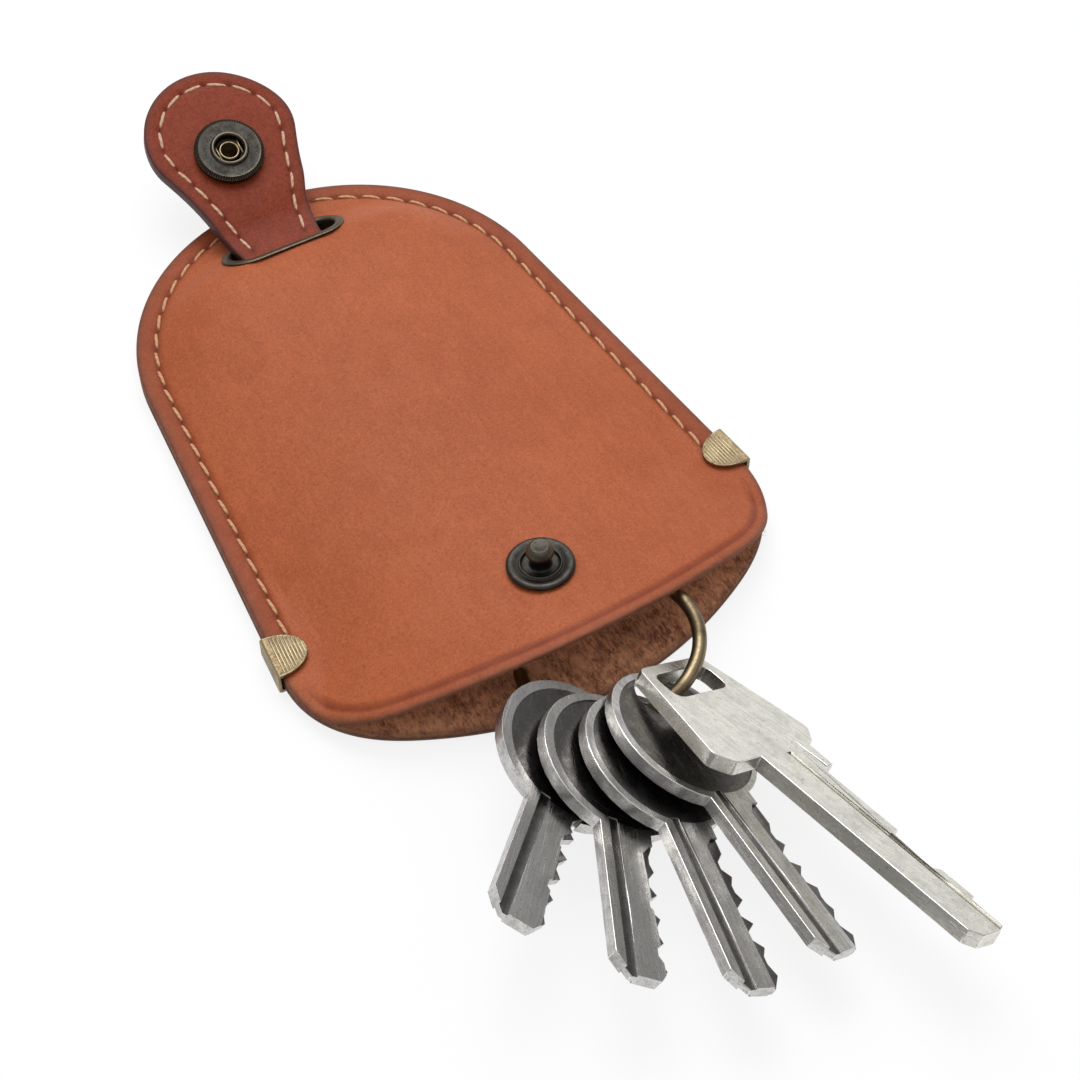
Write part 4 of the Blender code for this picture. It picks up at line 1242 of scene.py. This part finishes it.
def key_frame(node):
    """A key's own frame: hole at the origin, blade along -Y.

    The blade lies along the longest edge that is level in the key."""
    joint = HINGES[node]
    origin = Vector(joint["pos_m"])
    up = Vector(joint["axis"]).normalized()
    mesh = NODES[node].data
    points = np.array([v.co for v in mesh.vertices])
    reach = Vector((points.min(0) + points.max(0)) / 2) - origin
    ends = (edge.vertices for edge in mesh.edges)
    runs = [mesh.vertices[a].co - mesh.vertices[b].co for a, b in ends]
    along = max((run for run in runs if abs(run.normalized().dot(up)) < 0.001),
                key=lambda run: run.length)
    away = (along - up * along.dot(up)).normalized()
    if away.dot(reach) > 0:
        away = -away
    axes = Matrix((away.cross(up), away, up)).transposed().to_4x4()
    return Matrix.Translation(origin) @ axes


def key_cuts(length):
    """A wide recess in both faces of a round bow, and the thinner toothed half of the blade."""
    bow = circle(BOW_RECESS, 72, -BOW_CENTRE)
    left, right = BLADE_STEP, 2 * BLADE_HALF
    top, end = -BOW_CENTRE - BOW_RADIUS - BOW_TO_CUT, -length - CUT_SPARE
    teeth = [(left, end), (right, end), (right, top - CUT_SLOPE), (left + CUT_SLOPE, top),
             (left, top - CUT_SLOPE)]
    half = KEY_THICK / 2
    return ((bow, half - RECESS_DEPTH, 2 * half), (bow, -2 * half, RECESS_DEPTH - half),
            (teeth, half - CUT_TOP, 2 * half), (teeth, -2 * half, CUT_BOTTOM - half))


COLOUR = {"subtype": 'COLOR', "size": 3, "min": 0, "max": 1}
LENGTH = {"subtype": 'DISTANCE', "unit": 'LENGTH'}


class FobLeather(bpy.types.PropertyGroup):
    """Colours of the leather."""
    front_light: FloatVectorProperty(
        name="Front light", description="Lighter tone of the front panel",
        default=(0.502, 0.126, 0.042), **COLOUR)
    front_dark: FloatVectorProperty(
        name="Front dark", description="Darker tone of the front panel",
        default=(0.397, 0.090, 0.028), **COLOUR)
    strap_light: FloatVectorProperty(
        name="Strap light", description="Lighter tone of the strap and tongue",
        default=(0.310, 0.047, 0.012), **COLOUR)
    strap_dark: FloatVectorProperty(
        name="Strap dark", description="Darker tone of the strap and tongue",
        default=(0.203, 0.027, 0.007), **COLOUR)
    edge_paint: FloatVectorProperty(
        name="Edge paint", description="Paint on the strap's edges",
        default=(0.085, 0.032, 0.032), **COLOUR)
    edge_burnish: FloatVectorProperty(
        name="Edge burnish", description="Burnished edges of the panels",
        default=(0.17, 0.070, 0.042), **COLOUR)


class FobStitching(bpy.types.PropertyGroup):
    """Sizes and colours of the stitches."""
    stitch_pitch: FloatProperty(
        name="Seam pitch", description="Distance from hole to hole round the pouch",
        default=0.0042, min=0.002, max=0.01, **LENGTH)
    stitch_inset: FloatProperty(
        name="Seam inset", description="Distance from the panel's edge to the seam",
        default=0.0033, min=0.001, max=0.008, **LENGTH)
    tongue_pitch: FloatProperty(
        name="Tongue pitch", description="Distance from hole to hole round the tongue",
        default=0.0042, min=0.002, max=0.01, **LENGTH)
    tongue_inset: FloatProperty(
        name="Tongue inset", description="Distance from the tongue's edge to its stitches",
        default=0.0024, min=0.001, max=0.006, **LENGTH)
    thread_radius: FloatProperty(
        name="Thread radius", description="Half the thickness of the thread",
        default=0.00029, min=0.0001, max=0.001, **LENGTH)
    per_stitch: IntProperty(
        name="Rows per stitch", description="Mesh columns from hole to hole",
        default=6, min=2, max=12)
    seam_thread: FloatVectorProperty(
        name="Seam thread", description="Thread of the pouch seam",
        default=(0.78, 0.42, 0.215), **COLOUR)
    tongue_thread: FloatVectorProperty(
        name="Tongue thread", description="Thread of the tongue",
        default=(0.80, 0.52, 0.34), **COLOUR)


class FobMetal(bpy.types.PropertyGroup):
    """Colours of the metal."""
    gunmetal: FloatVectorProperty(
        name="Gunmetal", description="Plating of the snap parts",
        default=(0.066, 0.061, 0.055), **COLOUR)
    brass: FloatVectorProperty(
        name="Brass", description="Antique brass of the ring and clips",
        default=(0.36, 0.275, 0.16), **COLOUR)
    steel: FloatVectorProperty(
        name="Steel", description="Plating of the round keys",
        default=(0.66, 0.645, 0.625), **COLOUR)
    nickel: FloatVectorProperty(
        name="Nickel", description="Nickel silver of the flat key",
        default=(0.76, 0.745, 0.675), **COLOUR)


class FobStage(bpy.types.PropertyGroup):
    """Light of the studio."""
    sky: FloatProperty(
        name="Sky", description="Strength of the light from straight above",
        default=0.72, min=0, max=3)
    horizon: FloatProperty(
        name="Horizon", description="Strength of the light from the sides",
        default=0.12, min=0, max=3)
    lamp_power: FloatProperty(
        name="Lamp power", description="Power of the large lamp",
        subtype='POWER', unit='POWER', default=5.5, min=0, max=500)


def panel(name, columns, surface, edge_roll, material):
    """One leather panel of the pouch."""
    sheet, faces, marks = build_sheet(columns, PANEL_DEPTHS, PANEL_SPANS, surface, edge_roll)
    verts = [(p.x, p.y, height) for p, height in sheet]
    return piece(name, verts, faces, material, marks=marks)


class FOB_OT_panels(bpy.types.Operator):
    """Front and back panel of the pouch."""
    bl_idname = "fob.panels"
    bl_label = "Pouch panels"

    def execute(self, context):
        look, sewing = context.scene.fob_leather, context.scene.fob_stitching
        tan = leather_finish(
            "tan_leather", look.front_light, look.front_dark, look.edge_burnish, 0.08)
        columns = pouch_columns(FRONT_LIP, sewing)
        front = panel("front_panel", columns, front_surface(sewing), FRONT_ROLL, tan)
        opening = [(middle + CUT_WIDTH * u, CUT_WIDTH * v)
                   for middle, u, v in slot_path(CUT_LENGTH - CUT_WIDTH, 12)]
        bore(front, opening, -0.004, 0.004, eyelet_matrix())
        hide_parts("pouch_front")
        for soft in (front, lip_fibres("lip_fibres", columns, tan)):
            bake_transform(soft)
        back = panel("back_panel", pouch_columns(BACK_LIP, sewing), back_surface(sewing),
                     BACK_ROLL, tan)
        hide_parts("pouch_back")
        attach(back, "pouch")
        return {'FINISHED'}


def on_front(point, height):
    """A place at a height over the holes of the front panel."""
    top = underside(point.x, point.y) + LEATHER
    return (point.x, point.y, top - SEAM_SINK + height)


def on_back(point, height):
    """The same under the back panel, and never below the floor."""
    return (point.x, point.y, max(SEAM_SINK - height, THREAD_LOWEST))


class FOB_OT_seam(bpy.types.Operator):
    """Stitches round the pouch, on both faces."""
    bl_idname = "fob.seam"
    bl_label = "Pouch seam"

    def execute(self, context):
        sewing = context.scene.fob_stitching
        thread = thread_finish("seam_thread", sewing.seam_thread, 0.72)
        holes = stitch_holes(pouch_columns(FRONT_LIP, sewing), sewing.stitch_inset)
        count = (len(holes) + 1) // 2
        ends = stitches_along(holes[:count], [holes[0]] + holes[:count - 1:-1])
        for name, lift in (("seam_stitches_front", on_front), ("seam_stitches_back", on_back)):
            verts, faces, marks = thread_run(ends, lift, sewing.thread_radius, SEAM_SLANT)
            stitches = piece(name, verts, faces, thread, marks=marks)
            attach(stitches, "pouch")
        return {'FINISHED'}


def tongue_matrix():
    """The tongue's own frame, level with it: the fold at the origin and the tip along +Y."""
    fold = Matrix.Translation(Vector(HINGES["tongue"]["pos_m"]))
    return fold @ Matrix.Rotation(STRAP_LEAN, 4, 'Z') @ Matrix.Rotation(TONGUE_PITCH, 4, 'X')


class FOB_OT_strap(bpy.types.Operator):
    """Strap with its eye, and the tongue, in one piece of leather that bends at the slot."""
    bl_idname = "fob.strap"
    bl_label = "Strap and tongue"

    def execute(self, context):
        look, sewing = context.scene.fob_leather, context.scene.fob_stitching
        form = StrapForm()
        dark = leather_finish("dark_leather", look.strap_light, look.strap_dark, look.edge_paint)
        columns = form.columns(sewing)
        surface = strap_surface(form, sewing.tongue_inset)
        sheet, faces, marks = build_sheet(columns, STRAP_DEPTHS, STRAP_SPANS, surface, STRAP_ROLL)
        verts = [form.at(p.x, p.y, height) for p, height in sheet]
        strap = piece("strap_leather", verts, faces, dark, marks=marks)
        bore(strap, circle(TUBE_RADIUS + TUBE_PLAY, 32, SOCKET_Y), -0.006, 0.004, tongue_matrix())
        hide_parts("strap", "tongue_face", "tongue_back")
        holes = stitch_holes(columns, sewing.tongue_inset)
        count = len(holes) // 2
        right, left = holes[:count], holes[count:][::-1]
        ends = [(right[0][0], left[0][0], Vector((0, -1)))] + stitches_along(right, left)
        thread = thread_finish("tongue_thread", sewing.tongue_thread, 0.75)
        soft = [strap]
        for name, sign in (("tongue_stitches_face", 1), ("tongue_stitches_back", -1)):
            def lift(p, h, sign=sign):
                return form.at(p.x, p.y, sign * (form.thickness(p.y) / 2 - TONGUE_SINK + h))
            radius = sewing.thread_radius * 0.95
            verts, faces, marks = thread_run(ends, lift, radius, TONGUE_SLANT)
            soft.append(piece(name, verts, faces, thread, marks=marks))
        for obj in soft:
            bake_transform(obj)
        return {'FINISHED'}


class FOB_OT_fittings(bpy.types.Operator):
    """Snap, stud, eyelet and clips."""
    bl_idname = "fob.fittings"
    bl_label = "Metal fittings"

    def execute(self, context):
        metal = context.scene.fob_metal
        gun, brass = tuple(metal.gunmetal), tuple(metal.brass)
        plated = fitting_finish("gunmetal", gun, toned(gun, 0.5), RUBBED_GUNMETAL, 0.29)
        antique = fitting_finish("antique_brass", brass, toned(brass, 0.45), RUBBED_BRASS)
        bronze = fitting_finish("eyelet_bronze", *BRONZE)
        snap = tongue_matrix() @ Matrix.Translation((0, SOCKET_Y, 0))
        springs = [(sign * SPRING_HALF, SPRING_LENGTH / 2, SPRING_HEIGHT) for sign in (1, -1)]
        fall = underside(STUD_X, STUD_Y - 0.001) - underside(STUD_X, STUD_Y + 0.001)
        seat = Vector((STUD_X, STUD_Y, underside(STUD_X, STUD_Y) + LEATHER))
        stud = Matrix.Translation(seat) @ Matrix.Rotation(-atan(fall / 0.002), 4, 'X')
        for made, node, body in (
            (turned("snap_socket_finished", SOCKET_PROFILE, plated, snap,
                    True, 168, SOCKET_TEETH), "snap_socket", "tongue"),
            (turned("snap_cap_finished", CAP_PROFILE, antique, snap),
             "snap_cap", "tongue"),
            (rib_rods("socket_spring_finished", springs, SPRING_WIRE, SPRING_RISE, antique,
                      snap), "socket_spring", "tongue"),
            (turned("stud_post_finished", STUD_PROFILE, plated, stud),
             "stud_post", "stud"),
            (slot_band("slot_eyelet_finished", EYELET_INNER_LENGTH, EYELET_INNER_WIDTH,
                       EYELET_SECTION, bronze, eyelet_matrix()),
             "slot_eyelet", "pouch"),
        ):
            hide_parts(node)
            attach(made, body)
        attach(softened("stud_back", PLATE_BEVEL, antique), "stud")
        rows = [RIB_START - RIB_PITCH * i for i in range(RIB_COUNT)]
        rods = [(x, CLIP_LENGTH / 2 * sqrt(1 - (x / CLIP_REACH) ** 2) - RIB_MARGIN, CLIP_TOP)
                for x in rows]
        for node, x, turn in (("clip_left", -HALF_WIDTH, pi - side_lean()),
                              ("clip_right", HALF_WIDTH, side_lean())):
            place = Matrix.Translation((x, 0, 0)) @ Matrix.Rotation(turn, 4, 'Z')
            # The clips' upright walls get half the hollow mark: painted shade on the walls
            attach(softened(node, CLIP_BEVEL, antique, place, wall_shade=0.50), "pouch")
            ribs = rib_rods(node + "_ribs", rods, RIB_WIDTH, RIB_RISE, antique, place)
            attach(ribs, "pouch")
        return {'FINISHED'}


class FOB_OT_keys(bpy.types.Operator):
    """Key ring and the five keys on it."""
    bl_idname = "fob.keys"
    bl_label = "Ring and keys"

    def execute(self, context):
        metal = context.scene.fob_metal
        brass = tuple(metal.brass)
        # The ring's worn tone gives rubbed patches and a painted highlight along its upper side
        antique = fitting_finish(
            "ring_brass", toned(brass, 0.62), toned(brass, 0.27), RING_RUB_AND_HIGHLIGHT, 0.26)
        ring = wire_ring(
            "key_ring_finished", antique, Matrix.Translation(RING_PLACE) @ RING_TILT)
        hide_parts("key_ring")
        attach(ring, "ring")
        worn = key_finish("worn_steel", tuple(metal.steel), 0.50, STEEL_DIRT, 0.95)
        silver = key_finish("nickel_silver", tuple(metal.nickel), 0.66, NICKEL_DIRT_AND_WALL_SHADE, 0.80)
        for node, length in KEY_LENGTHS.items():
            key = softened(node, KEY_BEVEL, worn, key_frame(node),
                           key_cuts(length), KEY_WALL)
            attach(key, node)
        # The flat key's upright walls get 0.65 of the hollow mark: painted shade on the walls
        key = softened("key_e", FLAT_KEY_BEVEL, silver, key_frame("key_e"),
                       (), KEY_WALL, 0.65)
        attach(key, "key_e")
        return {'FINISHED'}


def pale_floor(scene):
    """A pale floor that the camera and glossy metal see as lit, and that still takes the shadow."""
    f = Finish("pale_floor")
    material = f.done({"Base Color": FLOOR_COLOUR, "Roughness": 0.9})
    camera_ray = f.node("ShaderNodeLightPath", out="Is Camera Ray")
    glossy_ray = f.node("ShaderNodeLightPath", out="Is Glossy Ray")
    share = camera_ray.math('MAXIMUM', camera_ray, glossy_ray) * FLOOR_GLOW
    glow = f.node("ShaderNodeEmission", {}, {"Color": WHITE, "Strength": GLOW_STRENGTH})
    matte = Wire(f, f.shader.outputs[0])
    both = f.node("ShaderNodeMixShader", {}, {0: share, 1: matte, 2: glow})
    f.feed(f.tree.nodes["Material Output"].inputs["Surface"], both)
    corners = [(x * FLOOR_REACH, y * FLOOR_REACH, 0)
               for x, y in ((-1, -1), (1, -1), (1, 1), (-1, 1))]
    mesh = bpy.data.meshes.new("floor")
    mesh.from_pydata(corners, [], [(0, 1, 2, 3)])
    mesh.materials.append(material)
    floor = bpy.data.objects.new("floor", mesh)
    floor.location.z = -FLOOR_DROP
    scene.collection.objects.link(floor)


def soft_sky(scene, horizon, overhead):
    """Soft light that is strongest from above, with a white backdrop for the camera."""
    world = bpy.data.worlds.new("sky")
    scene.world = world
    world.use_nodes = True
    sky = Nodes(world.node_tree)
    light = sky.tree.nodes["Background"]
    direction = sky.node("ShaderNodeTexCoord", out="Generated")
    up = sky.node("ShaderNodeSeparateXYZ", {}, {0: direction}, out="Z")
    strength = sky.node("ShaderNodeMapRange", {}, {0: up, 1: 0.0, 2: 1.0, 3: horizon, 4: overhead})
    sky.feed(light.inputs["Color"], WHITE)
    sky.feed(light.inputs["Strength"], strength)
    backdrop = sky.node("ShaderNodeBackground", {}, {"Color": WHITE})
    camera_ray = sky.node("ShaderNodeLightPath", out="Is Camera Ray")
    sockets = {0: camera_ray, 1: Wire(sky, light.outputs[0]), 2: backdrop}
    both = sky.node("ShaderNodeMixShader", {}, sockets)
    sky.feed(sky.tree.nodes["World Output"].inputs["Surface"], both)


def lamps(scene, power):
    """Large lamps that face the pouch."""
    for name, place, size, share in LAMPS:
        light = bpy.data.lights.new(name, 'AREA')
        light.size = size
        light.energy = power * share
        lamp = bpy.data.objects.new(name, light)
        lamp.location = place
        lamp.rotation_euler = (-place).to_track_quat('-Z', 'Y').to_euler()
        scene.collection.objects.link(lamp)


def photo_camera(scene):
    """The camera where the photograph was taken from."""
    level = cos(ELEVATION)
    back = Vector((sin(AZIMUTH) * level, -cos(AZIMUTH) * level, sin(ELEVATION)))
    right = Vector((cos(AZIMUTH), sin(AZIMUTH), 0))
    up = back.cross(right)
    side = right * cos(CAMERA_ROLL) + up * sin(CAMERA_ROLL)
    top = up * cos(CAMERA_ROLL) - right * sin(CAMERA_ROLL)
    data = bpy.data.cameras.new("camera")
    data.lens = LENS
    data.sensor_width = SENSOR
    data.clip_start = NEAREST
    camera = bpy.data.objects.new("camera", data)
    turn = Matrix((side, top, back)).transposed().to_4x4()
    camera.matrix_world = Matrix.Translation(TARGET + back * DISTANCE) @ turn
    scene.collection.objects.link(camera)
    scene.camera = camera


class FOB_OT_stage(bpy.types.Operator):
    """Pale floor, soft studio light and the camera."""
    bl_idname = "fob.stage"
    bl_label = "Studio"

    def execute(self, context):
        scene = context.scene
        stage = scene.fob_stage
        scene.view_settings.view_transform = 'Standard'
        pale_floor(scene)
        soft_sky(scene, stage.horizon, stage.sky)
        lamps(scene, stage.lamp_power)
        photo_camera(scene)
        return {'FINISHED'}


class FOB_PT_panel(bpy.types.Panel):
    """Sizes, colours and pieces of the key fob."""
    bl_idname = "FOB_PT_panel"
    bl_label = "Key Fob"
    bl_space_type = 'VIEW_3D'
    bl_region_type = 'UI'
    bl_category = "Key Fob"

    def draw(self, context):
        for title, group in GROUPS:
            box = self.layout.box()
            box.label(text=title)
            values = getattr(context.scene, "fob_" + title.lower())
            for name in group.__annotations__:
                box.prop(values, name)
        for operator in OPERATORS:
            self.layout.operator(operator.bl_idname)


GROUPS = (
    ("Leather", FobLeather), ("Stitching", FobStitching), ("Metal", FobMetal), ("Stage", FobStage))
OPERATORS = (FOB_OT_stage, FOB_OT_panels, FOB_OT_seam, FOB_OT_strap, FOB_OT_fittings, FOB_OT_keys)


def register():
    for title, group in GROUPS:
        bpy.utils.register_class(group)
        setattr(bpy.types.Scene, "fob_" + title.lower(), PointerProperty(type=group))
    for item in (*OPERATORS, FOB_PT_panel):
        bpy.utils.register_class(item)


def unregister():
    for item in (FOB_PT_panel, *reversed(OPERATORS)):
        bpy.utils.unregister_class(item)
    for title, group in reversed(GROUPS):
        delattr(bpy.types.Scene, "fob_" + title.lower())
        bpy.utils.unregister_class(group)


def main():
    register()
    bpy.ops.fob.stage()
    bpy.ops.fob.panels()
    bpy.ops.fob.seam()
    bpy.ops.fob.strap()
    bpy.ops.fob.fittings()
    bpy.ops.fob.keys()


if __name__ == "__main__":
    main()
